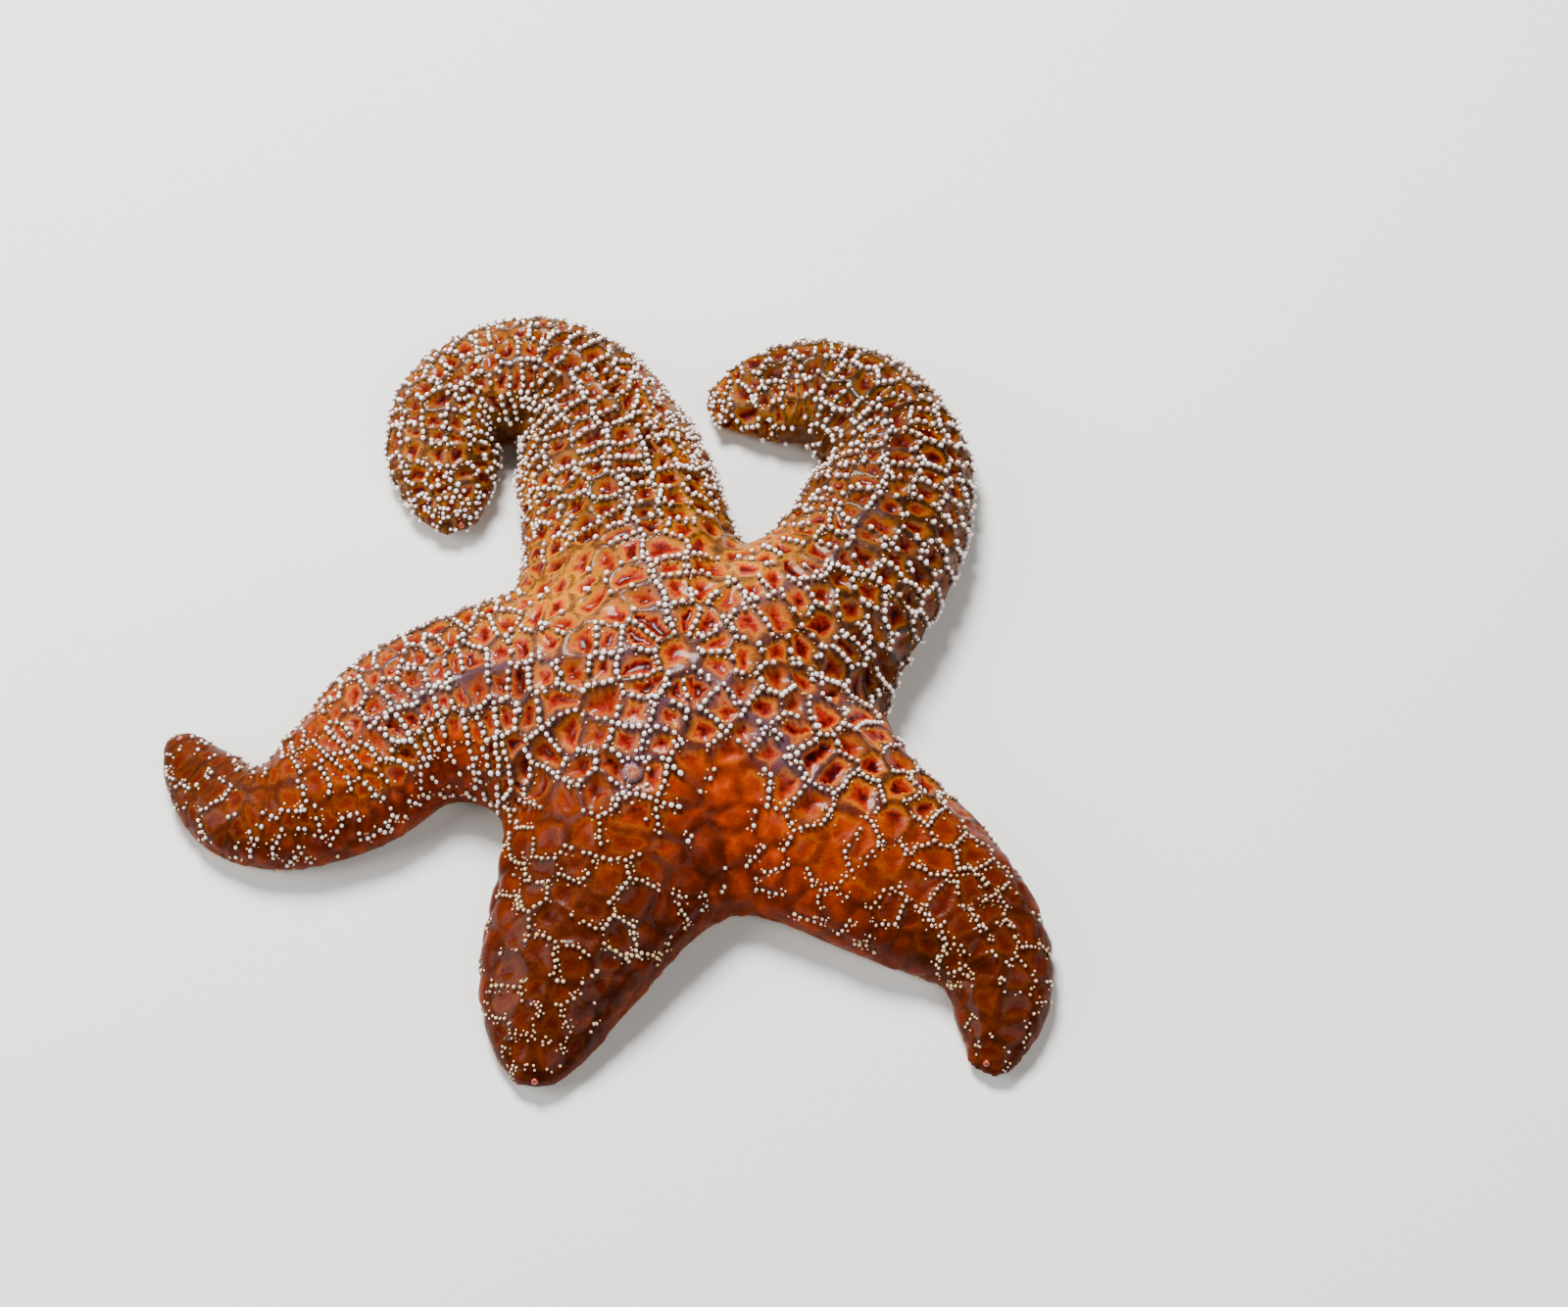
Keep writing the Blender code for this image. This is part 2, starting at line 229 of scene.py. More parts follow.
def copies(name, shape, places, axes, sizes, fields, roots, patch=0.003):
    """One joined mesh of many copies of a shape, each a small patch of the OFBake map at its root's place."""
    count, corners = len(places), len(shape.corners)
    local = shape.corners[None] * np.asarray(sizes)[:, None, :]
    world = np.einsum("nij,nkj->nki", axes, local) + places[:, None, :]
    mesh = bpy.data.meshes.new(name)
    mesh.vertices.add(count * corners)
    mesh.vertices.foreach_set("co", (world * MM).ravel())
    loops = (shape.loops[None] + np.arange(count)[:, None] * corners).ravel()
    mesh.loops.add(len(loops))
    mesh.loops.foreach_set("vertex_index", loops)
    starts = (shape.starts[None] + np.arange(count)[:, None] * len(shape.loops)).ravel()
    mesh.polygons.add(len(starts))
    mesh.polygons.foreach_set("loop_start", starts)
    mesh.polygons.foreach_set("use_smooth", np.ones(len(starts), bool))
    mesh.update(calc_edges=True)
    flat = roots[:, None, :] + shape.layout[shape.loops][None] * patch
    bake = mesh.uv_layers.new(name="OFBake")
    bake.data.foreach_set("uv", flat.ravel())
    for key, values in fields.items():
        set_value(mesh, key, np.repeat(values, corners))
    rise = shape.corners[:, 2]
    rise = (rise - rise.min()) / max(rise.max() - rise.min(), 1e-6)
    set_value(mesh, "rise", np.tile(rise, count))
    piece = bpy.data.objects.new(name, mesh)
    bpy.context.collection.objects.link(piece)
    return piece


def facing(normals, turn=None, tilt=0.0, seed=0):
    """Right-handed axes whose third column leans off each normal by up to tilt radians."""
    draw = np.random.default_rng(seed)
    up = unit(normals + tilt * draw.normal(size=normals.shape) * 0.6)
    side = turn if turn is not None else draw.normal(size=normals.shape)
    first = unit(side - np.sum(side * up, axis=1, keepdims=True) * up)
    return np.stack([first, np.cross(up, first), up], axis=2)


def own(piece, material):
    """Gives a finished piece its material, body and slot."""
    piece.data.materials.clear()
    piece.data.materials.append(material)
    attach(piece, "root")
    return piece


# ---------------------------------------------------------------- where the animal lies


class ArmLine:
    """The middle line of one arm in plan, a point for each millimetre from the disc's centre to the tip."""

    def __init__(self, name, centre):
        left = np.unique(corners_of(frame["nodes"][f"tube_feet_{name}"].data).round(2), axis=0)[:, :2]
        spot = centre
        step = left[np.argmin(np.linalg.norm(left - centre, axis=1))] - centre
        line = [centre]
        while len(left) >= 4:  # each ring of the bed has four corners
            order = np.argsort(np.linalg.norm(left - spot - step, axis=1))
            onward = left[order[:4]].mean(axis=0)
            step, spot = BED_STEP * unit(onward - spot), onward
            line.append(spot)
            left = np.delete(left, order[:4], axis=0)
        tip = centre_of(f"eyespot_{name}")[:2]
        line.append(tip + unit(tip - spot))
        line = np.array(line)
        along = np.concatenate([[0], np.cumsum(np.linalg.norm(np.diff(line, axis=0), axis=1))])
        self.length = along[-1]
        every = np.linspace(0, self.length, int(self.length) + 1)
        points = np.stack([np.interp(every, along, line[:, k]) for k in (0, 1)], axis=1)
        for _ in range(2):
            points[3:-3] = around(points, 7)[3:-3]
        self.points = points
        self.heading = unit(np.gradient(points, axis=0))
        self.steps = every


class Ground:
    """The smooth body surface, and where on the animal each of its points lies."""

    def __init__(self, mesh):
        self.centre = centre_of("mouth")[:2]
        self.lines = [ArmLine(name, self.centre) for name in ARMS]
        self.points, self.normals = corners_of(mesh), normals_of(mesh)
        self.tree = BVHTree.FromPolygons(
            [Vector(point) for point in self.points], [tuple(face.vertices) for face in mesh.polygons]
        )
        self.heights = []
        for line in self.lines:
            drops = [self.tree.ray_cast(Vector((x, y, 80)), Vector((0, 0, -1)))[0] for x, y in line.points]
            tall = np.array([drop.z if drop else np.nan for drop in drops])
            known = ~np.isnan(tall)
            self.heights.append(np.interp(line.steps, line.steps[known], tall[known]))

    def locate(self, points):
        """For each point: its arm, its distance along it, its signed distance across the surface, the arm's
        direction there and the arm's height there."""
        arm = np.zeros(len(points), int)
        nearest = np.full(len(points), np.inf)
        step = np.zeros(len(points), int)
        for k, line in enumerate(self.lines):
            apart = np.linalg.norm(points[:, None, :2] - line.points[None], axis=2)
            at = np.argmin(apart, axis=1)
            best = apart[np.arange(len(points)), at]
            closer = best < nearest
            arm[closer], step[closer], nearest[closer] = k, at[closer], best[closer]
        along, across = np.zeros(len(points)), np.zeros(len(points))
        heading, tall = np.zeros((len(points), 2)), np.zeros(len(points))
        for k, line in enumerate(self.lines):
            mine = arm == k
            at = step[mine]
            heading[mine] = line.heading[at]
            gap = points[mine, :2] - line.points[at]
            along[mine] = line.steps[at] + np.sum(gap * line.heading[at], axis=1).clip(-1, 1)
            tall[mine] = self.heights[k][at]
            sideways = line.heading[at][:, 0] * gap[:, 1] - line.heading[at][:, 1] * gap[:, 0]
            across[mine] = np.sign(sideways) * np.hypot(sideways, np.maximum(tall[mine] - points[mine, 2], 0))
        return arm, along, across, heading, tall

    def section(self, k, along):
        """Points down both sides of an arm at one distance along it, with their distances from the ridge."""
        line = self.lines[k]
        at = int(round(min(along, len(line.points) - 4)))
        middle, ahead = line.points[at], line.heading[at]
        start = Vector((*middle, 0.35 * self.heights[k][at]))
        sides = {}
        for side in (1, -1):
            met = []
            for angle in np.radians(np.arange(0, 112, 4)):
                reach = side * math.sin(angle)
                way = Vector((-ahead[1] * reach, ahead[0] * reach, math.cos(angle)))
                place = self.tree.ray_cast(start, way)[0]
                if place:
                    met.append(np.array(place))
            met = np.array(met) if len(met) > 1 else np.array([start, start])
            down = np.concatenate([[0], np.cumsum(np.linalg.norm(np.diff(met, axis=0), axis=1))])
            sides[side] = (met, down)
        return sides


def keep_largest(piece):
    """Deletes the bubbles that a remesh leaves inside: all that isn't joined to the highest vertex."""
    mesh = piece.data
    highest = np.argmax(corners_of(mesh)[:, 2])
    for kind in (mesh.vertices, mesh.edges, mesh.polygons):
        kind.foreach_set("select", np.zeros(len(kind), bool))
    mesh.vertices[int(highest)].select = True
    make_active(piece)
    bpy.ops.object.mode_set(mode="EDIT")
    bpy.ops.mesh.select_mode(type="VERT")
    bpy.ops.mesh.select_linked()
    bpy.ops.mesh.select_all(action="INVERT")
    bpy.ops.mesh.delete(type="VERT")
    bpy.ops.object.mode_set(mode="OBJECT")


def fill_pits(skin):
    """Levels the small pits that the solids leave round the eye spots and the sieve plate."""
    points = corners_of(skin.data)
    weights = np.zeros(len(points))
    for name, reach in [("madreporite", 3.2), *((f"eyespot_{arm}", 2.6) for arm in ARMS)]:
        apart = np.linalg.norm(points - centre_of(name), axis=1)
        weights = np.maximum(weights, smooth(2 - apart / reach))
    group = skin.vertex_groups.new(name="pits")
    for index in np.nonzero(weights > 0.01)[0].tolist():
        group.add([index], float(weights[index]), "REPLACE")
    apply_modifier(skin, "SMOOTH", factor=0.8, iterations=60, vertex_group="pits")


def tree_of(mesh):
    """Finds the nearest place on a mesh, in metres."""
    return BVHTree.FromPolygons([corner.co for corner in mesh.vertices], [face.vertices for face in mesh.polygons])


def ease_apart(piece, neighbour):
    """Draws a curled tip away from the arm that it nearly touches, and gives what is needed to undo that."""
    tree = tree_of(frame["nodes"][neighbour].data)
    points = corners_of(piece.data)
    met = np.array([tree.find_nearest(Vector(point * MM))[0] for point in points]) / MM
    apart = np.linalg.norm(points - met, axis=1)
    moves = (points - met) * (0.55 * np.maximum(EASED / apart - 1, 0))[:, None]
    set_corners(piece.data, points + moves)
    return tree_of(piece.data), points + moves, moves


def ease_back(skin, eased):
    """Lets the skin of the curled tips back to where the flesh lies, now that it can't run into the next arm."""
    points = corners_of(skin.data)
    reach, touch, blend = 30, 3.5, 3.0  # mm round a tip, from its surface, and over which its moves are averaged
    for tree, spots, moves in eased:
        for index in np.nonzero(np.linalg.norm(points - spots.mean(axis=0), axis=1) < reach)[0]:
            point = points[index]
            apart = tree.find_nearest(Vector(point * MM))[3] / MM
            if apart <= touch:
                weights = np.exp(-np.sum((spots - point) ** 2, axis=1) / blend**2)
                move = weights @ moves / (weights.sum() + 1e-9)
                points[index] = point - 0.85 * smooth(touch - apart) * move
    set_corners(skin.data, points)


def build_ground(settings):
    """Joins the parted flesh into one closed surface, smooths it and draws it in by the coat's depth."""
    pieces, eased = [], []
    for name in FLESH:
        piece = bpy.data.objects.new("flesh", frame["nodes"][name].data.copy())
        bpy.context.collection.objects.link(piece)
        if name in CURLED_TIPS:
            eased.append(ease_apart(piece, BESIDE_TIPS))
        pieces.append(piece)
    make_active(pieces[0])
    for piece in pieces:
        piece.select_set(True)
    bpy.ops.object.join()
    skin = bpy.context.view_layer.objects.active
    skin.name = skin.data.name = "skin"
    bpy.ops.object.mode_set(mode="EDIT")
    bpy.ops.mesh.select_all(action="SELECT")
    bpy.ops.mesh.remove_doubles(threshold=0.01 * MM)
    bpy.ops.object.mode_set(mode="OBJECT")
    apply_modifier(skin, "DISPLACE", strength=SWOLLEN_SHUT * MM, mid_level=0.0)
    apply_modifier(skin, "REMESH", mode="VOXEL", voxel_size=settings.mesh_size)
    keep_largest(skin)
    apply_modifier(skin, "SMOOTH", factor=0.5, iterations=26)
    fill_pits(skin)
    mesh = skin.data
    points, normals = corners_of(mesh), normals_of(mesh)
    depth = (settings.coat_depth / MM + SWOLLEN_SHUT) * np.ones(len(points))
    depth -= 0.35 * smooth((-0.3 - normals[:, 2]) / 0.4)  # the coat is shallower below, and near the eye spots
    for name in ARMS:
        apart = np.linalg.norm(points - centre_of(f"eyespot_{name}"), axis=1)
        depth *= 0.45 + 0.55 * smooth((apart - 2) / 7)
    set_corners(mesh, points - normals * depth[:, None])
    apply_modifier(skin, "REMESH", mode="VOXEL", voxel_size=settings.mesh_size)  # clears folds at the tips
    keep_largest(skin)
    ease_back(skin, eased)
    apply_modifier(skin, "SMOOTH", factor=0.5, iterations=5)
    return skin


# ---------------------------------------------------------------- the plates under the skin


def inward(ground, arm, along, across):
    """Radius in mm of the arm's bend where a point is on its inner side, and very large elsewhere."""
    bend = np.full(len(arm), 1e3)
    for k, line in enumerate(ground.lines):
        turn = np.unwrap(np.arctan2(line.heading[:, 1], line.heading[:, 0]))
        rate = around(np.gradient(turn)[:, None], 9)[:, 0]
        mine = arm == k
        rates = rate[np.clip(along[mine], 0, len(rate) - 1).astype(int)]
        bend[mine] = np.where(rates * across[mine] > 0.012, 1 / np.maximum(np.abs(rates), 1e-3), 1e3)
    return bend


class Regions:
    """Smooth fields over the surface: how it is coloured, how far it swells and how its spines stand."""

    def __init__(self, ground, points, normals):
        arm, along, self.across, self.heading, tall = ground.locate(points)
        self.arm, self.along, self.plan, self.centre = arm, along, points[:, :2], ground.centre
        self.share = along / np.array([line.length for line in ground.lines])[arm]
        self.rise = points[:, 2] / np.maximum(tall, 6)
        self.uneven = patchy(points, 11, 1)
        self.on_back = (arm == BACK_LEFT) | (arm == BACK_RIGHT)
        self.on_front = (arm == FRONT_LEFT) | (arm == FRONT_RIGHT)
        self.left_low = (arm == LEFT) & (self.across > 0)
        self.back = self.on_back.astype(float)
        self.front = self.on_front * smooth((along - 24) / 20)
        self.spread = smooth((np.linalg.norm(self.plan - ground.centre, axis=1) - 26) / 16)
        self.under = smooth((-0.25 - normals[:, 2]) / 0.35)
        self.end = smooth((self.share - 0.90) / 0.08)
        self.notches = self.near(72, 40, 13) + self.near(143, 36, 15)  # beside the back arms, where gold shows
        self.golden = np.minimum(self.notches, 1)
        self.bald = self.near(284, 37, 13)  # a smooth patch between the front arms
        self.set_swelling()
        self.set_spines(ground)
        self.set_colours(patchy(points, 26, 2))
        self.set_cells()

    def near(self, angle, distance, size):
        """1 at a spot, given in degrees and mm from the disc's centre, and less with distance in sizes of it."""
        spot = self.centre + distance * np.array([math.cos(math.radians(angle)), math.sin(math.radians(angle))])
        return np.exp(-np.sum((self.plan - spot) ** 2, axis=1) / size**2)

    def set_swelling(self):
        """The skin swells smooth between the front arms, low on the left arm, and towards that arm's tip."""
        left, off_ridge = self.arm == LEFT, np.abs(self.across) + 3 * self.uneven
        forward = smooth((-25 - (self.plan - self.centre)[:, 1] + 5 * self.uneven) / 14)
        swell = forward * (0.45 + 0.55 * smooth((off_ridge - 10) / 7)) * (self.on_front | left)
        swell = np.maximum(swell, self.left_low * smooth((off_ridge - 9) / 5) * smooth((self.along - 38) / 18))
        swell = np.maximum(swell, left * 0.6 * smooth((self.along - 60) / 26))
        self.swell = np.maximum(swell, smooth(1.5 * self.bald - 0.1))

    def set_spines(self, ground):
        """How bare of spines the skin is, and how fine they are."""
        arm, along, share, rise = self.arm, self.along, self.share, self.rise
        # none low on the sides, up to a share of the arm's height
        limit = np.where(self.on_front, 0.50, np.where(self.left_low, 0.40, 0.14)) + 0.05 * self.uneven
        limit = np.where((arm == BACK_RIGHT) & (along < 60) & (self.across < 0), 0.26, limit)
        bare = np.maximum(smooth((limit - rise) / 0.10), smooth(2.2 * self.bald - 0.9))
        # few in the folds inside a curl
        curl = smooth((38 - inward(ground, arm, along, self.across)) / 14) * self.on_back
        self.curl = curl * smooth((0.86 - rise) / 0.3)
        bare = np.maximum(bare, 0.8 * self.curl)
        # fewer on the disc, in the golden notches and towards the tips
        sparse = 0.40 * self.notches + 0.16 * (1 - self.spread)
        sparse += 0.22 * self.on_back * smooth((share - 0.45) / 0.2)
        sparse += (arm == BACK_RIGHT) * (0.20 - 0.12 * smooth((share - 0.4) / 0.2))
        sparse += 0.45 * (self.on_front | (arm == LEFT)) * smooth((share - 0.66) / 0.24)
        self.bare = np.maximum(bare, sparse)
        small = 0.27 * self.on_front * smooth((along - 26) / 26)
        small += 0.18 * (arm == LEFT) * smooth((along - 58) / 30)
        self.fineness = 1 - small - (0.14 + 0.12 * self.on_front) * smooth((share - 0.7) / 0.3)

    def set_colours(self, broad):
        """Where gold and lilac show, where the arms darken, partly in their own colour and partly as painted shade
        towards the front tips, and the flanks, painted darker as shade low on the sides.
        """
        share, swell, uneven = self.share, self.swell, self.uneven
        gold = 1.25 * self.notches + 0.5 * self.near(60, 22, 12) + 0.35 * self.near(107, 62, 30)
        gold += self.on_back * (0.14 + 0.40 * smooth((share - 0.55) / 0.3)) + 0.3 * (self.arm == LEFT) * share
        self.gold = np.clip(gold * (0.85 + 0.9 * uneven) + 0.22 * broad * (1 - swell), 0, 1)
        ridge_line = np.exp(-((self.across / 3.2) ** 2)) * smooth((self.along - 4) / 10)
        self.lilac = np.clip(ridge_line * (0.7 + 0.5 * uneven) + 0.28 + 0.45 * uneven, 0, 1)
        self.lilac *= (1 - smooth(1.6 * swell)) * (1 - 0.8 * self.on_front * smooth((self.along - 30) / 20))
        self.lilac *= 1 - 0.8 * self.gold
        # the darkening is partly the arms' own colour and partly painted shade where light falls off towards the
        # front arms' tips
        root, start, over, tip = DUSK_AND_SHADE[self.arm].T
        dusk = (0.30 + self.spread * (root - 0.30)) * (1 - swell)
        self.dusk = np.maximum(dusk, tip * smooth((share - start) / over)) * (1 - 0.45 * self.gold)
        # the lower sides are painted darker, as shade away from the light above
        self.flank = smooth((0.62 - self.rise + 0.10 * uneven) / 0.5)

    def set_cells(self):
        """The length and width in mm of the cells between the plates."""
        for name, sizes, taper in (
            ("cell_length", CELL_LENGTHS, LENGTH_TAPER),
            ("cell_width", CELL_WIDTHS, WIDTH_TAPER),
        ):
            size = sizes[self.arm] * (1 - taper * self.share)
            setattr(self, name, DISC_CELL + (size - DISC_CELL) * self.spread)


def axes_at(normals, heading):
    """Unit directions along and across the arm in the surface."""
    ahead = np.concatenate([heading, np.zeros((len(heading), 1))], axis=1)
    along = unit(ahead - np.sum(ahead * normals, axis=1, keepdims=True) * normals)
    return along, np.cross(normals, along)


class Plates:
    """The net of skeletal plates: soft cells of skin inside it, and chains of spines along it."""

    def __init__(self, ground, regions, points, normals, faces):
        self.points, self.normals, self.regions = points, normals, regions
        wander = np.stack([patchy(points, 8.0, seed) for seed in (11, 12, 13)], axis=1)
        ripple = np.stack([patchy(points, 3.2, seed) for seed in (14, 15, 16)], axis=1)
        bent = points + 2.0 * wander + 0.55 * ripple
        along, across = axes_at(normals, regions.heading)
        self.axes = (along / regions.cell_length[:, None], across / regions.cell_width[:, None], normals / 6.0)
        self.offsets = [np.sum(bent * axis, axis=1) for axis in self.axes]
        self.seed_cells(ground)
        self.measure()
        self.trace(faces)

    def reach_to(self, spots, rows=slice(None)):
        """Distance from vertices to spots, in cell widths."""
        total = 0
        for axis, offset in zip(self.axes, self.offsets):
            total = total + (axis[rows] @ np.atleast_2d(spots).T - offset[rows][:, None]) ** 2
        return np.sqrt(total)

    def seed_cells(self, ground):
        """The cells' middles: pairs on the disc, five rows down each side of an arm, and more in the gaps."""
        draw = random.Random(5)
        seeds = []
        for k, line in enumerate(ground.lines):
            at = 9.0
            while at < line.length - 4:
                if at < DISC_EDGE:
                    for side in (1, -1):
                        met, down = ground.section(k, at + draw.uniform(-0.8, 0.8))[side]
                        seeds.append([np.interp(3.7, down, met[:, axis]) for axis in range(3)])
                    at += 6.6
                    continue
                share = at / line.length
                pitch = CELL_LENGTHS[k] * (1 - LENGTH_TAPER * share)
                wide = CELL_WIDTHS[k] * (1 - WIDTH_TAPER * share)
                for side in (1, -1):
                    for column in range(5):
                        slide = draw.uniform(-0.24, 0.24) * pitch + (0.5 * pitch if column % 2 else 0)
                        met, down = ground.section(k, at + slide)[side]
                        want = (column + 0.5 + draw.uniform(-0.13, 0.13)) * wide
                        if want < down[-1] - 1:
                            seeds.append([np.interp(want, down, met[:, axis]) for axis in range(3)])
                at += pitch
        seeds = np.array(seeds)
        nearest = np.where(self.regions.under > 0.9, 0, np.inf)
        for spot in seeds:
            nearest = np.minimum(nearest, self.reach_to(spot)[:, 0])
        order = np.random.default_rng(8).permutation(len(self.points))
        added = []
        for index in order:
            if nearest[index] > 0.86:
                spot = self.points[index]
                added.append(spot)
                nearest = np.minimum(nearest, self.reach_to(spot)[:, 0])
        self.seeds = np.concatenate([seeds, np.array(added)])

    def measure(self):
        """Each vertex's cell, and its distance in mm from the nearest line between two cells."""
        count = len(self.points)
        self.cell, self.edge = np.zeros(count, int), np.zeros(count)
        self.size = np.zeros(count)
        for start in range(0, count, 6000):
            rows = slice(start, min(start + 6000, count))
            apart = self.reach_to(self.seeds, rows)
            two = np.argpartition(apart, 1, axis=1)[:, :2]
            first = np.take_along_axis(apart, two, axis=1)
            swap = first[:, 0] > first[:, 1]
            two[swap], first[swap] = two[swap][:, ::-1], first[swap][:, ::-1]
            between = self.seeds[two[:, 1]] - self.seeds[two[:, 0]]
            real = np.linalg.norm(between, axis=1)
            scaled = np.sqrt(sum(np.sum(axis[rows] * between, axis=1) ** 2 for axis in self.axes))
            gap = (first[:, 1] ** 2 - first[:, 0] ** 2) / (2 * np.maximum(scaled, 1e-6))
            self.cell[rows] = two[:, 0]
            self.edge[rows] = gap * real / np.maximum(scaled, 1e-6)
            self.size[rows] = real / 2

    def trace(self, faces):
        """The lines of the net as chains of points between the places where they meet."""
        labels = self.cell[faces]
        above = self.regions.under[faces].max(axis=1) < 0.7
        mixed = np.nonzero((labels != labels[:, :1]).any(axis=1) & above)[0]
        meets, runs = [], {}
        for face in mixed:
            corners, own_labels = faces[face], labels[face]
            kinds = set(own_labels.tolist())
            met = []
            for a, b in zip(range(4), (1, 2, 3, 0)):
                if own_labels[a] != own_labels[b]:
                    ea, eb = self.edge[corners[a]] + 1e-3, self.edge[corners[b]] + 1e-3
                    share = ea / (ea + eb)
                    met.append(self.points[corners[a]] * (1 - share) + self.points[corners[b]] * share)
            spot = np.mean(met, axis=0)
            if len(kinds) > 2:
                meets.append((spot, kinds))
            else:
                runs.setdefault(tuple(sorted(kinds)), []).append(spot)
        finder = finder_of([spot for spot, _ in meets])
        taken, ends_of = set(), {}
        for index, (spot, _) in enumerate(meets):
            if index in taken:
                continue
            close = [other for _, other, _ in finder.find_range(spot, 1.5) if other not in taken]
            taken.update(close)
            kinds = sorted(set().union(*(meets[other][1] for other in close)))
            for pair in itertools.combinations(kinds, 2):
                ends_of.setdefault(pair, []).append(spot)
        self.chains = []
        for pair, spots in runs.items():
            spots = np.array(spots)
            main = np.linalg.svd(spots - spots.mean(axis=0), full_matrices=False)[2][0]
            run = spots @ main
            step = np.round((run - run.min()) / 1.3).astype(int)
            spots = np.array([spots[step == n].mean(axis=0) for n in np.unique(step)])
            ends = ends_of.get(pair, [])
            first = [e for e in ends if np.linalg.norm(e - spots[0]) < 2.0]
            last = [e for e in ends if np.linalg.norm(e - spots[-1]) < 2.0]
            inner = spots[1 if first else 0 : -1 if last else None]
            line = np.array([*first[:1], *inner, *last[:1]])
            if len(line) > 1:
                self.chains.append(line)


# ---------------------------------------------------------------- spines and their neighbours


class Spots:
    """Where each spine stands, how wide it is in mm and which way it is turned, all kept apart from each other."""

    def __init__(self, closest=0.86, keep_off=()):
        self.cells, self.closest, self.keep_off = {}, closest, keep_off
        self.places, self.sizes, self.turns = [], [], []

    def fits(self, place, size):
        """Whether a spine has room there."""
        if any(np.linalg.norm(middle - place) < reach + 0.3 * size for middle, reach in self.keep_off):
            return False
        key = tuple(int(v // 2.5) for v in place)
        for dx in (-1, 0, 1):
            for dy in (-1, 0, 1):
                for dz in (-1, 0, 1):
                    for index in self.cells.get((key[0] + dx, key[1] + dy, key[2] + dz), ()):
                        apart = np.linalg.norm(self.places[index] - place)
                        if apart < self.closest * (size + self.sizes[index]) / 2:
                            return False
        return True

    def add(self, place, size, turn):
        """Stands a spine there if it has room."""
        if not self.fits(place, size):
            return
        key = tuple(int(v // 2.5) for v in place)
        self.cells.setdefault(key, []).append(len(self.places))
        self.places.append(np.array(place))
        self.sizes.append(size)
        self.turns.append(np.array(turn))


def walk(line, spacing):
    """Points a given distance apart, as evenly as the line's length allows, and its direction at each."""
    along = np.concatenate([[0], np.cumsum(np.linalg.norm(np.diff(line, axis=0), axis=1))])
    if along[-1] < 0.5 * spacing:
        return np.empty((0, 3)), np.empty((0, 3))
    count = max(1, round(along[-1] / spacing))
    at = np.linspace(0, along[-1], count + 1)
    points = np.stack([np.interp(at, along, line[:, k]) for k in range(3)], axis=1)
    ways = unit(np.gradient(points, axis=0)) if len(points) > 1 else np.ones((1, 3))
    return points, ways


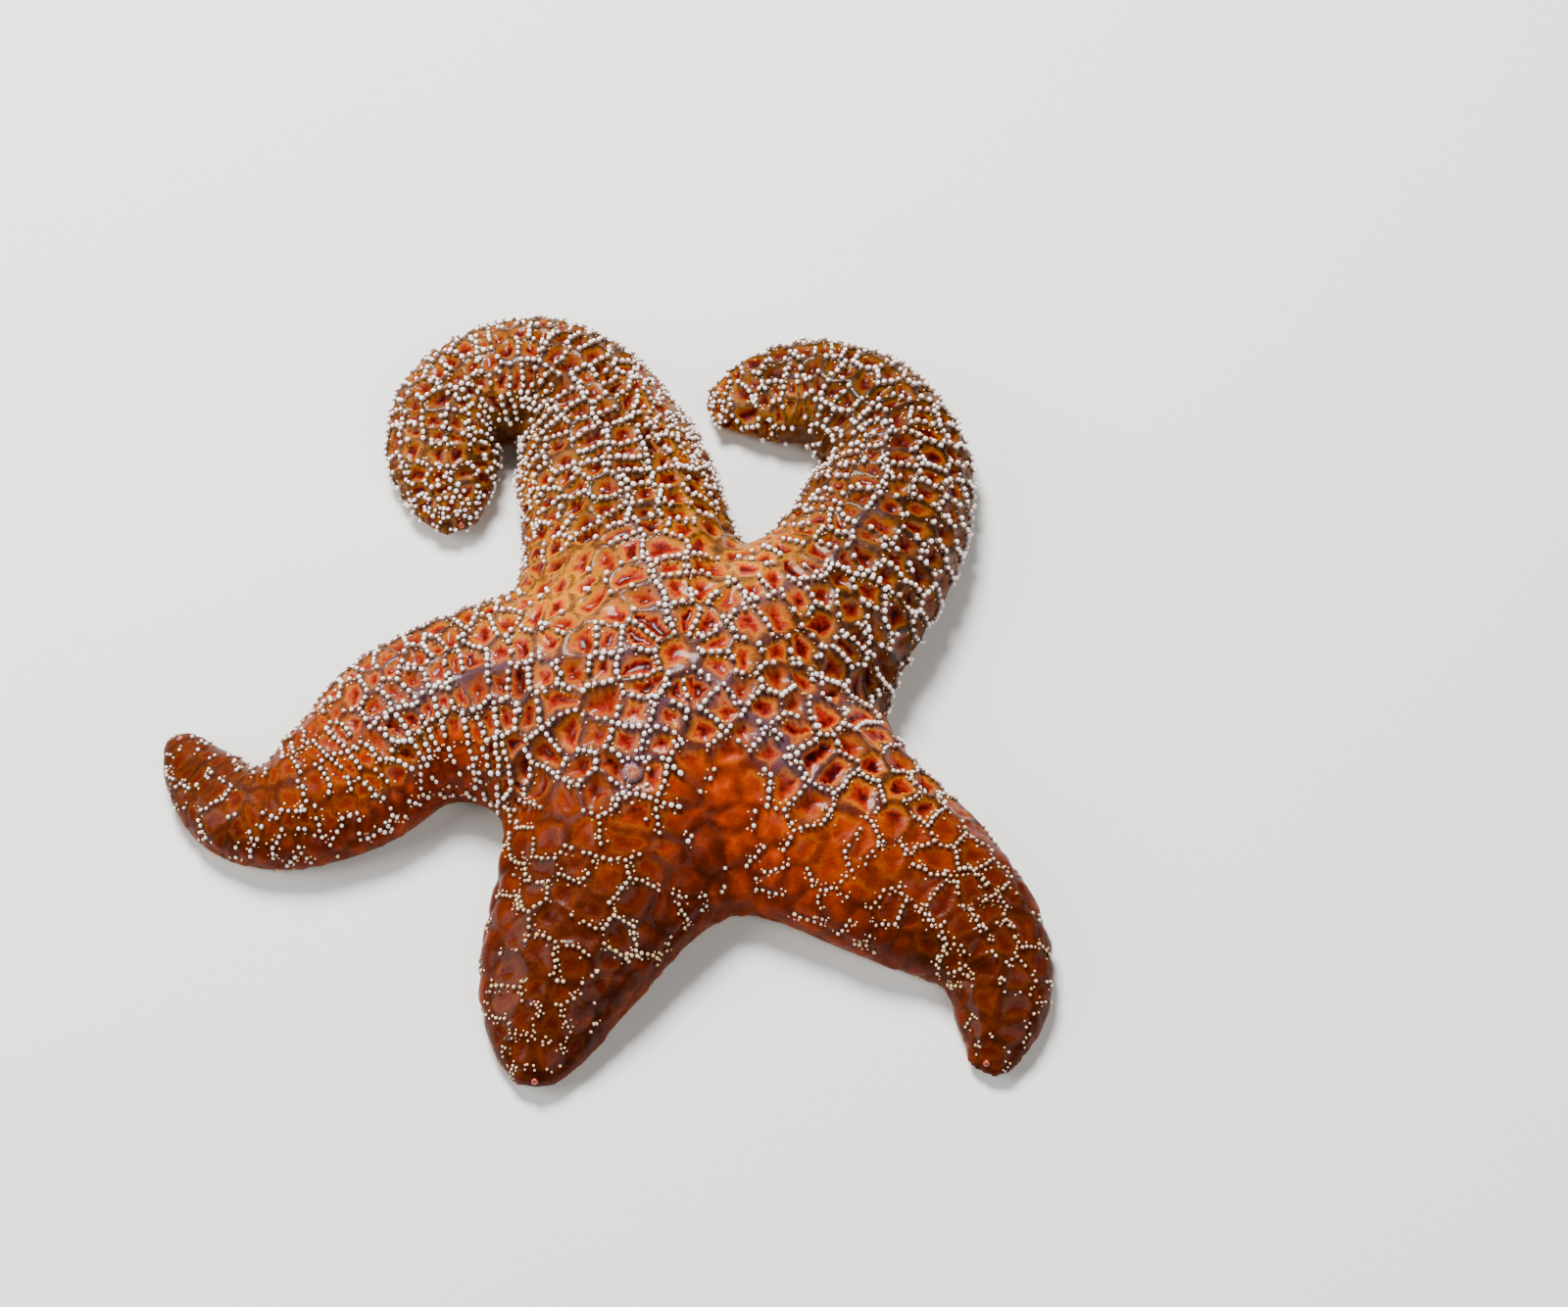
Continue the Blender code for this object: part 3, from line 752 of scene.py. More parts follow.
def place_spines(plates, tree, settings):
    """The chains of spines along the net, the doubled rows and the small granules beside them."""
    regions = plates.regions
    draw = random.Random(21)
    finder = finder_of(plates.points)
    head = settings.head_size / MM
    kept = [("madreporite", 2.6), *((f"eyespot_{name}", 1.3) for name in ARMS)]
    keep_off = [(centre_of(name), reach) for name, reach in kept]
    spots, grains, tufts = Spots(keep_off=keep_off), Spots(0.8, keep_off), Spots(0.55, keep_off)
    middle = keep_off[0][0]
    for turn in np.linspace(0, 2 * math.pi, 11)[:-1]:  # a ring of small spines round the sieve plate
        wide = 3.1 + draw.uniform(-0.15, 0.25)
        place = tree.find_nearest(Vector(middle + wide * np.array([math.cos(turn), math.sin(turn), 0])))[0]
        spots.add(np.array(place), head * draw.uniform(0.72, 0.9), (1, 0, 0))

    def size_at(index):
        return head * regions.fineness[index]

    chains = sorted(plates.chains, key=len, reverse=True)
    for line in chains:
        middle = finder.find(line[len(line) // 2])[1]
        if regions.under[middle] > 0.5:
            continue
        rich = 1 - regions.swell[middle]
        if draw.random() > 0.52 + 0.40 * rich - 0.06 * regions.front[middle] - 0.60 * regions.golden[middle]:
            continue
        strong = draw.random()
        spacing = settings.spacing / MM * draw.uniform(0.94, 1.10) * (0.3 + 0.7 * regions.fineness[middle])
        points, ways = walk(line, spacing)
        carinal = abs(regions.across[middle]) < 2.2 and regions.swell[middle] < 0.6
        doubled = draw.random() < (0.16 if regions.back[middle] else 0.08)
        for point, way in zip(points, ways):
            index = finder.find(point)[1]
            if regions.under[index] > 0.6 or draw.random() < regions.bare[index]:
                continue
            if draw.random() < 0.04 + 0.10 * regions.swell[index]:
                continue
            size = size_at(index) * (0.86 + 0.22 * strong) * draw.uniform(0.86, 1.14)
            across = np.cross(plates.normals[index], way)
            place = point + across * draw.gauss(0, 0.10)
            spots.add(place, size, way)
            if (carinal and draw.random() < 0.32) or (doubled and draw.random() < 0.7):
                side = draw.choice((-1, 1))
                beside = place + across * side * size * draw.uniform(1.0, 1.15) + way * draw.uniform(-0.7, 0.7)
                spots.add(beside, size * draw.uniform(0.82, 1.0), way)
            for _ in range(2):
                if draw.random() < 0.34 + 0.2 * regions.swell[index]:
                    side = draw.choice((-1, 1))
                    beside = place + across * side * (0.5 * size + draw.uniform(0.35, 1.1))
                    beside = beside + way * draw.uniform(-1, 1)
                    small = draw.uniform(0.40, 0.72)
                    if spots.fits(beside, small):
                        grains.add(beside, small, way)
            if draw.random() < 0.05 * (1 - regions.swell[index]):
                for _ in range(draw.randint(4, 8)):
                    beside = place + across * draw.gauss(0, 1.0) + way * draw.gauss(0, 1.0)
                    small = draw.uniform(0.45, 0.8)
                    if spots.fits(beside, 0.6 * small):
                        tufts.add(beside, small, way)
    # lone spines inside the wider cells, and many at the curled tips
    for index in np.random.default_rng(4).permutation(len(plates.points))[:9000]:
        crowded = regions.end[index] * regions.back[index] > 0.2
        inside = plates.edge[index] > 1.9 or crowded
        wanted = 4 if crowded else 0.06 + 0.08 * regions.back[index] * regions.spread[index]
        if regions.under[index] > 0.3 or regions.bare[index] > 0.4 or not inside or draw.random() > wanted * 0.25:
            continue
        place, size = plates.points[index], size_at(index) * (draw.uniform(0.55, 0.85) + 0.2 * crowded)
        spots.add(place, size, (1, 0, 0))

    def settle(stood):
        """The spots on the finished skin: places, normals, nearest corners, sizes and turns."""
        places = np.array([tree.find_nearest(Vector(place))[0] for place in stood.places])
        index = np.array([finder.find(place)[1] for place in stood.places])
        return places, plates.normals[index], index, np.array(stood.sizes), np.array(stood.turns)

    return settle(spots), settle(grains), settle(tufts)


def pull(piece, low, high, resize=(1, 1, 1), move=0.0):
    """Scales the corners between two heights in mm about the upright axis, then moves them up."""
    mesh = piece.data
    make_active(piece)
    bpy.ops.object.mode_set(mode="EDIT")
    bpy.ops.mesh.select_mode(type="VERT")
    bpy.ops.mesh.select_all(action="DESELECT")
    bpy.ops.object.mode_set(mode="OBJECT")
    rise = corners_of(mesh)[:, 2]
    mesh.vertices.foreach_set("select", (rise > low) & (rise < high))
    bpy.ops.object.mode_set(mode="EDIT")
    bpy.ops.transform.resize(value=resize, center_override=(0, 0, 0))
    bpy.ops.transform.translate(value=(0, 0, move * MM))
    bpy.ops.object.mode_set(mode="OBJECT")


def head_shape():
    """A blunt knob like a spine's bare end: one unit wide and flatter on top than a ball."""
    bpy.ops.mesh.primitive_uv_sphere_add(segments=10, ring_count=4, radius=0.5 * MM)
    piece = bpy.context.active_object
    pull(piece, 0.2, 0.45, resize=(1.06, 1.06, 1))
    pull(piece, 0.1, 1, resize=(1, 1, 0.86))
    pull(piece, -1, -0.1, resize=(1, 1, 0.95))
    return Shape(piece)


def stalk_shape():
    """A short peg, one unit tall and one unit wide at its foot, with a hollow end that the head sits in."""
    bpy.ops.mesh.primitive_cone_add(vertices=8, radius1=0.5 * MM, radius2=0.40 * MM, depth=1.0 * MM)
    piece = bpy.context.active_object
    make_active(piece)
    bpy.ops.object.mode_set(mode="EDIT")
    bpy.ops.mesh.select_all(action="DESELECT")
    bpy.ops.object.mode_set(mode="OBJECT")
    top = max(piece.data.polygons, key=lambda face: face.center.z)
    top.select = True
    bpy.ops.object.mode_set(mode="EDIT")
    bpy.ops.mesh.select_mode(type="FACE")
    bpy.ops.mesh.inset(thickness=0.12 * MM, depth=-0.06 * MM)
    bpy.ops.object.mode_set(mode="OBJECT")
    pull(piece, -1, 1, move=0.5)
    return Shape(piece)


def collar_shape():
    """A lumpy wreath of pincers one unit wide, round the foot of a spine."""
    bpy.ops.mesh.primitive_torus_add(
        major_segments=12, minor_segments=3, major_radius=0.40 * MM, minor_radius=0.12 * MM
    )
    piece = bpy.context.active_object
    points = corners_of(piece.data)
    draw = np.random.default_rng(3)
    turn = np.arctan2(points[:, 1], points[:, 0])
    lump = 1 + 0.05 * np.cos(5 * turn) + 0.04 * draw.normal(size=len(points))
    points[:, :2] *= lump[:, None]
    points[:, 2] *= 1.3 + 0.35 * np.cos(5 * turn)
    set_corners(piece.data, points)
    return Shape(piece)


def foot_shape():
    """A tube foot one unit tall and wide, hanging from its top down to the round rim of its sucker."""
    bpy.ops.mesh.primitive_uv_sphere_add(segments=8, ring_count=8, radius=0.5 * MM)
    piece = bpy.context.active_object
    rings = (  # how wide and how high each ring of corners is, from the top down
        (0.0, 1.0), (0.26, 0.97), (0.30, 0.78), (0.27, 0.60), (0.30, 0.42), (0.27, 0.25), (0.33, 0.12),
        (0.50, 0.0), (0.0, 0.07),
    )
    pull(piece, -1, 1, move=10)  # clear of the heights that the rings move to
    for level, (wide, tall) in enumerate(rings):
        out, rise = 0.5 * math.sin(level * math.pi / 8), 10 + 0.5 * math.cos(level * math.pi / 8)
        across = wide / max(out, 0.01)
        pull(piece, rise - 0.01, rise + 0.01, resize=(across, across, 1), move=tall - rise)
    return Shape(piece)


def grain_shape():
    """A granule one unit wide, drawn in underneath where it sits in the skin."""
    bpy.ops.mesh.primitive_ico_sphere_add(subdivisions=1, radius=0.5 * MM)
    piece = bpy.context.active_object
    pull(piece, -1, -0.1, resize=(0.85, 0.85, 0.9))
    return Shape(piece)


# ---------------------------------------------------------------- materials


def per(size):
    """A texture's scale for patches of a size in mm, on coordinates in metres."""
    return 1 / (size * MM)


def add(tree, kind, *values, stops=(), output=0, **settings):
    """Adds a shader node and gives one of its outputs. The values go to its open sockets in their order. A setting
    with a capital goes to the socket of that name, and any other to the node. Hex colours are turned to linear."""
    made = tree.nodes.new("ShaderNode" + kind)
    for key, value in settings.items():
        if key[0].islower():
            setattr(made, key, value)
    while stops and len(made.color_ramp.elements) < len(stops):
        made.color_ramp.elements.new(0.5)
    for element, (place, shade) in zip(made.color_ramp.elements if stops else (), stops):
        element.position = place
        element.color = (*linear(shade), 1) if isinstance(shade, str) else (shade, shade, shade, 1)
    opened = zip([socket for socket in made.inputs if socket.enabled], values)
    named = ((made.inputs[key], value) for key, value in settings.items() if key[0].isupper())
    for socket, value in (*opened, *named):
        if isinstance(value, bpy.types.NodeSocket):
            tree.links.new(value, socket)
        else:
            socket.default_value = (*linear(value), 1) if isinstance(value, str) else value
    return made.outputs[output]


def material(name, stored="", **numbers):
    """A material with its shader's own numbers set: itself, its tree, its shader, the object's coordinates and the
    stored fields that it reads."""
    made = bpy.data.materials.new(name)
    made.use_nodes = True
    tree = made.node_tree
    shader = tree.nodes["Principled BSDF"]
    for socket, value in numbers.items():
        shader.inputs[socket.replace("_", " ")].default_value = value
    place = add(tree, "TexCoord", output="Object")
    fields = {key: add(tree, "Attribute", attribute_name=key, output="Fac") for key in stored.split()}
    return made, tree, shader, place, fields


def finish(shader, colour, grain=None, strength=0.0, depth=0.0, into="Normal"):
    """Links a colour to a shader, and a grain that stands up to depth mm high."""
    tree = shader.id_data
    if colour:
        tree.links.new(colour, shader.inputs["Base Color"])
    if grain:
        bump = add(tree, "Bump", Strength=strength, Distance=depth * MM, Height=grain)
        tree.links.new(bump, shader.inputs[into])


COLOURS = {"data_type": "RGBA", "output": 2}  # what makes a Mix node mix two colours
MARKINGS = "pit tone gold lilac soft dusk"  # the fields that colour both the skin and its coat
# colours from the ridges of the net, at 0, down to the bottom of its pits, at 1; in this and the next two ramps
# the near-black red towards 1 is partly the skin's deep red and partly painted shade in the pits
RICH = (
    (0.0, "#391909"), (0.16, "#5C2905"), (0.32, "#9B4D01"), (0.46, "#B56300"), (0.60, "#A33101"),
    (0.76, "#851601"), (0.90, "#570601"), (1.0, "#2F0201"),
)
SALMON = ((0.0, "#46200F"), (0.2, "#743406"), (0.45, "#9A4400"), (0.75, "#841C05"), (1.0, "#480A03"))
GOLDEN = (
    (0.0, "#6A3A04"), (0.24, "#C67A00"), (0.44, "#B85C00"), (0.62, "#9E2E00"), (0.8, "#721101"), (1.0, "#460801"),
)
# colours of the swollen skin between the front arms, from patch to patch
SWOLLEN = ((0.0, "#651A01"), (0.35, "#882801"), (0.65, "#B93D01"), (1.0, "#DB6F01"))
LILAC, DUSK_AND_SHADE_TINT = "#593C4A", "#889062"


def skin_colours(tree, place, stored):
    """The markings that the skin and its coat share, from the stored fields."""
    # pigment lies in blotches about 4.5 mm and flecks about 1.5 mm across
    blotch = add(tree, "TexNoise", Vector=place, Scale=per(4.5), Detail=4.0, Roughness=0.6)
    fleck = add(tree, "TexNoise", Vector=place, Scale=per(1.5), Detail=5.0, Roughness=0.62)
    drift = add(tree, "Math", add(tree, "Math", fleck, 0.5, operation="SUBTRACT"), 0.9, operation="MULTIPLY")
    uneven = add(tree, "Math", blotch, 0.5, operation="SUBTRACT")
    drift = add(tree, "Math", uneven, 0.7, drift, operation="MULTIPLY_ADD")
    # how far into its pit a point lies, with noise; the ramps paint its deep end dark as shade in the pits
    pit_and_shade = add(tree, "Math", stored["pit"], drift, operation="ADD", use_clamp=True)
    rich, salmon, golden = (add(tree, "ValToRGB", pit_and_shade, stops=stops) for stops in (RICH, SALMON, GOLDEN))
    patch = add(tree, "Math", blotch, 1.5, -0.42, operation="MULTIPLY_ADD", use_clamp=True)
    swollen = add(tree, "ValToRGB", patch, stops=SWOLLEN)
    tone = add(tree, "Math", stored["tone"], uneven, operation="ADD")
    tone = add(tree, "ValToRGB", tone, stops=((0.6, 0.0), (0.88, 1.0)))
    colour = add(tree, "Mix", tone, rich, salmon, **COLOURS)
    colour = add(tree, "Mix", stored["gold"], colour, golden, **COLOURS)
    upper = add(tree, "Math", 0.85, pit_and_shade, operation="SUBTRACT")
    lilac = add(tree, "Math", stored["lilac"], upper, operation="MULTIPLY", use_clamp=True)
    colour = add(tree, "Mix", lilac, colour, LILAC, **COLOURS)
    colour = add(tree, "Mix", stored["soft"], colour, swollen, **COLOURS)
    # multiplied darker: partly the arms' own dusky colour, partly painted shade towards the front arms' tips
    colour = add(tree, "Mix", stored["dusk"], colour, DUSK_AND_SHADE_TINT, blend_type="MULTIPLY", **COLOURS)
    return colour, blotch, fleck


def skin_material():
    """Wet living skin over calcite plates: translucent, glossy with sea water, drawn taut between the ridges."""
    made, tree, shader, place, stored = material(
        "wet_sea_star_skin", MARKINGS + " swell flank under crease", Roughness=0.32, IOR=1.38, Coat_Roughness=0.06,
        Coat_IOR=1.33, Subsurface_Weight=0.08, Subsurface_Scale=0.9 * MM, Subsurface_Radius=(1.0, 0.32, 0.12),
        Specular_IOR_Level=0.06,
    )
    film_weight = add(tree, "Math", stored["swell"], -0.12, 0.20, operation="MULTIPLY_ADD")
    tree.links.new(film_weight, shader.inputs["Coat Weight"])
    colour, blotch, fleck = skin_colours(tree, place, stored)
    # the low flanks are painted dark brown, and deep red on the swollen front skin, as painted shade away from the
    # light above
    blotches = add(tree, "ValToRGB", blotch, stops=((0.35, 0.0), (0.65, 1.0)))
    side = add(tree, "Mix", blotches, "#3A1B03", "#5A2D04", **COLOURS)
    front = add(tree, "Mix", blotches, "#561901", "#843203", **COLOURS)
    side = add(tree, "Mix", stored["swell"], side, front, **COLOURS)
    flank = add(tree, "Math", stored["flank"], 0.8, operation="MULTIPLY")
    colour = add(tree, "Mix", flank, colour, side, **COLOURS)
    belly = add(tree, "Mix", fleck, "#824717", "#A26B37", **COLOURS)
    pale = add(tree, "ValToRGB", blotch, stops=((0.42, 0.0), (0.66, 1.0)))
    belly = add(tree, "Mix", pale, belly, "#AE8556", **COLOURS)
    colour = add(tree, "Mix", stored["under"], colour, belly, **COLOURS)
    # the creases between the swollen cobbles are painted near black, as shade in them
    crease = add(tree, "Math", stored["crease"], 0.8, operation="MULTIPLY")
    colour = add(tree, "Mix", crease, colour, "#270E03", **COLOURS)

    # folds and pores of living skin, drawn a few times coarser than they are, so that they show
    folds = add(tree, "TexNoise", Vector=place, Scale=per(0.9), Detail=5.0, Roughness=0.62)
    pores = add(tree, "TexVoronoi", Vector=place, Scale=per(0.55), output="Distance")
    raised = add(tree, "Math", pores, 0.25, operation="MULTIPLY")
    height = add(tree, "Math", folds, 0.8, raised, operation="MULTIPLY_ADD")
    finish(shader, colour, height, strength=0.55, depth=0.28)
    finish(shader, None, folds, strength=0.12, depth=0.2, into="Coat Normal")
    return made


def head_material():
    """The bare calcite end of a spine: porcelain white with a grey or lilac cast, under a film of water."""
    made, tree, shader, place, stored = material(
        "calcite_spine_heads", "tone warm rise", Roughness=0.38, Coat_Weight=0.5, Coat_Roughness=0.12,
        Subsurface_Weight=0.15, Subsurface_Scale=0.6 * MM,
    )
    grit = add(tree, "TexNoise", Vector=place, Scale=per(0.5), Detail=2.0, Roughness=0.55)
    white = add(tree, "Mix", stored["tone"], "#F2DEDA", "#FFF2E8", **COLOURS)
    warm = add(tree, "Mix", stored["warm"], white, "#D8B070", **COLOURS)
    # the lower part of each head is painted darker pink, as shade under its rounded top
    foot = add(tree, "ValToRGB", stored["rise"], stops=((0.12, 1.0), (0.5, 0.0)))
    low = add(tree, "Mix", foot, warm, "#B58A78", **COLOURS)
    faint = add(tree, "Math", grit, 0.12, operation="MULTIPLY")
    colour = add(tree, "Mix", faint, low, "#B0A8A4", **COLOURS)
    finish(shader, colour, grit, strength=0.3, depth=0.08)
    return made


def stalk_material():
    """The sheath of skin round a spine: the skin's own colour, paler and pinker where it thins."""
    made, tree, shader, place, stored = material(
        "spine_sheaths", MARKINGS + " rise", Roughness=0.34, Coat_Weight=0.7, Coat_Roughness=0.1,
        Subsurface_Weight=0.3, Subsurface_Scale=0.8 * MM,
    )
    colour, _, _ = skin_colours(tree, place, stored)
    pale = add(tree, "Mix", stored["rise"], colour, "#B0816D", **COLOURS)
    finish(shader, add(tree, "Mix", 0.65, colour, pale, **COLOURS))
    return made


def collar_material():
    """The wreath of tiny pincers round a spine: olive brown in mottled patches, its near-black shades partly
    painted shadow under the spine's head.
    """
    made, tree, shader, place, stored = material(
        "pincer_wreaths", "tone swell", Roughness=0.5, Coat_Weight=0.35, Coat_Roughness=0.2
    )
    grit = add(tree, "TexNoise", Vector=place, Scale=per(0.6), Detail=2.0, Roughness=0.55)
    # the near-black end is partly the pincers' olive brown and partly painted shadow under the spine's head
    dark = add(tree, "Mix", grit, "#221407", "#523417", **COLOURS)
    pale = add(tree, "Mix", grit, "#643A24", "#84604A", **COLOURS)
    colour = add(tree, "Mix", stored["tone"], dark, pale, **COLOURS)
    finish(shader, add(tree, "Mix", stored["swell"], colour, "#461F0A", **COLOURS))
    return made


def plate_material():
    """The sieve plate: bare porous calcite, pink in the middle and lilac grey along its rim."""
    made, tree, shader, place, stored = material(
        "grooved_sieve_plate", "rim groove", Roughness=0.45, Coat_Weight=0.4, Coat_Roughness=0.12
    )
    grit = add(tree, "TexNoise", Vector=place, Scale=per(0.5), Detail=3.0, Roughness=0.55)
    colour = add(tree, "Mix", stored["rim"], "#9A4620", "#46344A", **COLOURS)
    # the grooves are painted dark brown, as shade in them
    colour = add(tree, "Mix", stored["groove"], colour, "#3E160C", **COLOURS)
    faint = add(tree, "Math", grit, 0.2, operation="MULTIPLY")
    colour = add(tree, "Mix", faint, colour, "#C08060", **COLOURS)
    finish(shader, colour, grit, strength=0.4, depth=0.1)
    return made


def foot_material():
    """Tube feet: thin wet muscle, straw yellow and half clear, with paler suckers."""
    made, tree, shader, place, stored = material(
        "tube_foot_muscle", "rise", Roughness=0.3, Coat_Weight=0.6, Coat_Roughness=0.08, Subsurface_Weight=0.35,
        Subsurface_Scale=0.8 * MM,
    )
    colour = add(tree, "Mix", stored["rise"], "#E6C48C", "#C08038", **COLOURS)
    mottle = add(tree, "TexNoise", Vector=place, Scale=per(0.8), Detail=3.0, Roughness=0.55)
    mottle = add(tree, "Math", mottle, 0.35, operation="MULTIPLY")
    colour = add(tree, "Mix", mottle, colour, "#A8622A", **COLOURS)
    wrinkles = add(tree, "TexNoise", Vector=place, Scale=per(0.35), Detail=3.0, Roughness=0.55)
    finish(shader, colour, wrinkles, strength=0.3, depth=0.1)
    return made


def belly_spine_material():
    """Spines of the underside: calcite under a thin cream skin, straw coloured at the foot."""
    made, tree, shader, place, stored = material(
        "belly_spines", "tone rise", Roughness=0.42, Coat_Weight=0.35, Coat_Roughness=0.15
    )
    colour = add(tree, "Mix", stored["tone"], "#D8A868", "#F0DCC0", **COLOURS)
    foot = add(tree, "ValToRGB", stored["rise"], stops=((0.1, 1.0), (0.6, 0.0)))
    colour = add(tree, "Mix", foot, colour, "#B8703A", **COLOURS)
    mottle = add(tree, "TexNoise", Vector=place, Scale=per(0.6), Detail=3.0, Roughness=0.55)
    mottle = add(tree, "Math", mottle, 0.2, operation="MULTIPLY")
    finish(shader, add(tree, "Mix", mottle, colour, "#A05A2A", **COLOURS))
    return made


def mouth_material():
    """The mouth's membrane: thin soft skin in radial folds, darker towards the opening."""
    made, tree, shader, place, stored = material(
        "mouth_membrane_skin", "rim", Roughness=0.36, Coat_Weight=0.6, Coat_Roughness=0.1, Subsurface_Weight=0.2,
        Subsurface_Scale=1.0 * MM,
    )
    colour = add(tree, "Mix", stored["rim"], "#6A1E0C", "#D08858", **COLOURS)
    mottle = add(tree, "TexNoise", Vector=place, Scale=per(0.7), Detail=3.0, Roughness=0.55)
    mottle = add(tree, "Math", mottle, 0.3, operation="MULTIPLY")
    finish(shader, add(tree, "Mix", mottle, colour, "#E8B890", **COLOURS))
    return made


def eye_material():
    """The eye spot: a cushion of clear skin over scarlet cups of pigment, drawn coarser than they are."""
    made, tree, shader, place, _ = material(
        "scarlet_eye_cups", Roughness=0.2, Coat_Weight=0.8, Coat_Roughness=0.05
    )
    cups = add(tree, "TexVoronoi", Vector=place, Scale=per(0.42), output="Distance")
    finish(shader, add(tree, "ValToRGB", cups, stops=((0.15, "#5E0103"), (0.55, "#8E1C0C"), (0.85, "#A8481C"))))
    return made


def tuft_material():
    """Tufts of loose pincers between the spines: olive black, here and there one of straw yellow."""
    made, tree, shader, place, stored = material(
        "olive_pincer_tufts", "tone", Roughness=0.4, Coat_Weight=0.4, Coat_Roughness=0.15
    )
    stops = ((0.0, "#1C1408"), (0.5, "#3A2A10"), (0.8, "#6E5A1E"), (1.0, "#B8A44A"))
    colour = add(tree, "ValToRGB", stored["tone"], stops=stops)
    mottle = add(tree, "TexNoise", Vector=place, Scale=per(0.4), Detail=3.0, Roughness=0.55)
    mottle = add(tree, "Math", mottle, 0.4, operation="MULTIPLY")
    finish(shader, add(tree, "Mix", mottle, colour, "#5A3A1A", **COLOURS))
    return made


def grain_material():
    """Small granules of calcite just under the skin: pink to straw yellow."""
    made, tree, shader, _, stored = material(
        "skin_granules", "tone", Roughness=0.36, Coat_Weight=0.6, Coat_Roughness=0.1
    )
    stops = ((0.0, "#D98E66"), (0.4, "#E0B090"), (0.7, "#E6C070"), (0.93, "#D9D0C4"), (1.0, "#9A9A2A"))
    finish(shader, add(tree, "ValToRGB", stored["tone"], stops=stops))
    return made


# ---------------------------------------------------------------- settings


def length(name, description, default):
    """A length in mm, as a property that a user can change."""
    return FloatProperty(name=name, description=description, default=default * MM, unit="LENGTH", precision=5)


class SkinSettings(bpy.types.PropertyGroup):
    """What shapes the skin."""

    mesh_size: length("Mesh size", "Spacing of the skin's mesh", 0.88)
    coat_depth: length("Coat depth", "How far the skin lies inside the tips of the spines", 1.25)
    pit_depth: length("Pit depth", "How far the soft cells sink between the ridges", 1.9)


class SpineSettings(bpy.types.PropertyGroup):
    """What shapes the coat of spines."""

    head_size: length("Head size", "Width of a spine's bare end", 1.08)
    spacing: length("Spacing", "Distance between spines in a chain", 1.68)
    height: length("Height", "Height of a spine above the skin", 1.22)


class SmallSettings(bpy.types.PropertyGroup):
    """What shapes the smaller pieces."""

    plate_width: length("Sieve plate", "Width of the sieve plate", 4.6)
    eye_width: length("Eye spot", "Width of an eye spot", 1.5)
    foot_width: length("Foot width", "Width of a tube foot's sucker", 1.55)
    foot_spacing: length("Foot spacing", "Distance between tube feet in a row", 2.2)


class StageSettings(bpy.types.PropertyGroup):
    """The floor, the camera and the light."""

    floor: FloatVectorProperty(
        name="Floor", description="Colour of the floor", subtype="COLOR", default=linear("#D9D8D4")
    )
    distance: FloatProperty(
        name="Camera distance", description="From the camera to the ground it looks at", default=0.831,
        unit="LENGTH",
    )
    elevation: FloatProperty(
        name="Camera elevation", description="How steeply the camera looks down", default=math.radians(62),
        subtype="ANGLE",
    )
    lens: FloatProperty(name="Lens", description="Focal length in millimetres", default=85.0)
    key: FloatProperty(name="Key light", description="Power of the soft light", default=54.0)


class SeaStarSettings(bpy.types.PropertyGroup):
    """All the settings, as the scene keeps them."""

    skin: PointerProperty(type=SkinSettings)
    spines: PointerProperty(type=SpineSettings)
    small: PointerProperty(type=SmallSettings)
    stage: PointerProperty(type=StageSettings)


found = {}  # what the skin's operator finds out and the others use


# ---------------------------------------------------------------- pieces


def skin_tree():
    """The finished skin, for finding places on it in mm."""
    faces = [tuple(face.vertices) for face in bpy.data.objects["skin"].data.polygons]
    return BVHTree.FromPolygons([Vector(point) for point in found["moved"]], faces)


def faces_of(mesh):
    """The corners of each four-sided face."""
    flat = np.empty(len(mesh.loops), int)
    mesh.loops.foreach_get("vertex_index", flat)
    return flat.reshape(-1, 4)


def unwrap_skin(skin, normals, faces):
    """Parts the skin's map along its lower edge and lays both halves out flat."""
    mesh = skin.data
    up = normals[:, 2][faces].mean(axis=1) > -0.3
    codes = {}
    corner_pairs = np.stack([faces, np.roll(faces, -1, axis=1)], axis=2).reshape(-1, 2)
    corner_pairs.sort(axis=1)
    keys = corner_pairs[:, 0] * len(normals) + corner_pairs[:, 1]
    for key, top in zip(keys.tolist(), np.repeat(up, 4).tolist()):
        codes[key] = codes.get(key, 0) + (1 if top else -1)
    ends = np.empty(len(mesh.edges) * 2, int)
    mesh.edges.foreach_get("vertices", ends)
    ends = np.sort(ends.reshape(-1, 2), axis=1)
    seams = np.array([codes[a * len(normals) + b] == 0 for a, b in ends.tolist()])
    mesh.edges.foreach_set("use_seam", seams)
    mesh.uv_layers.new(name="OFBake")
    make_active(skin)
    bpy.ops.object.mode_set(mode="EDIT")
    bpy.ops.mesh.select_all(action="SELECT")
    bpy.ops.uv.unwrap(method="CONFORMAL", margin=0.004)
    bpy.ops.object.mode_set(mode="OBJECT")
    flat = np.empty(len(mesh.loops) * 2)
    mesh.uv_layers["OFBake"].data.foreach_get("uv", flat)
    at = np.zeros((len(normals), 2))
    loops = faces.ravel()
    tops = np.repeat(up, 4)
    order = np.argsort(tops, kind="stable")  # a vertex on the seam takes the upper half's place
    at[loops[order]] = flat.reshape(-1, 2)[order]
    return at


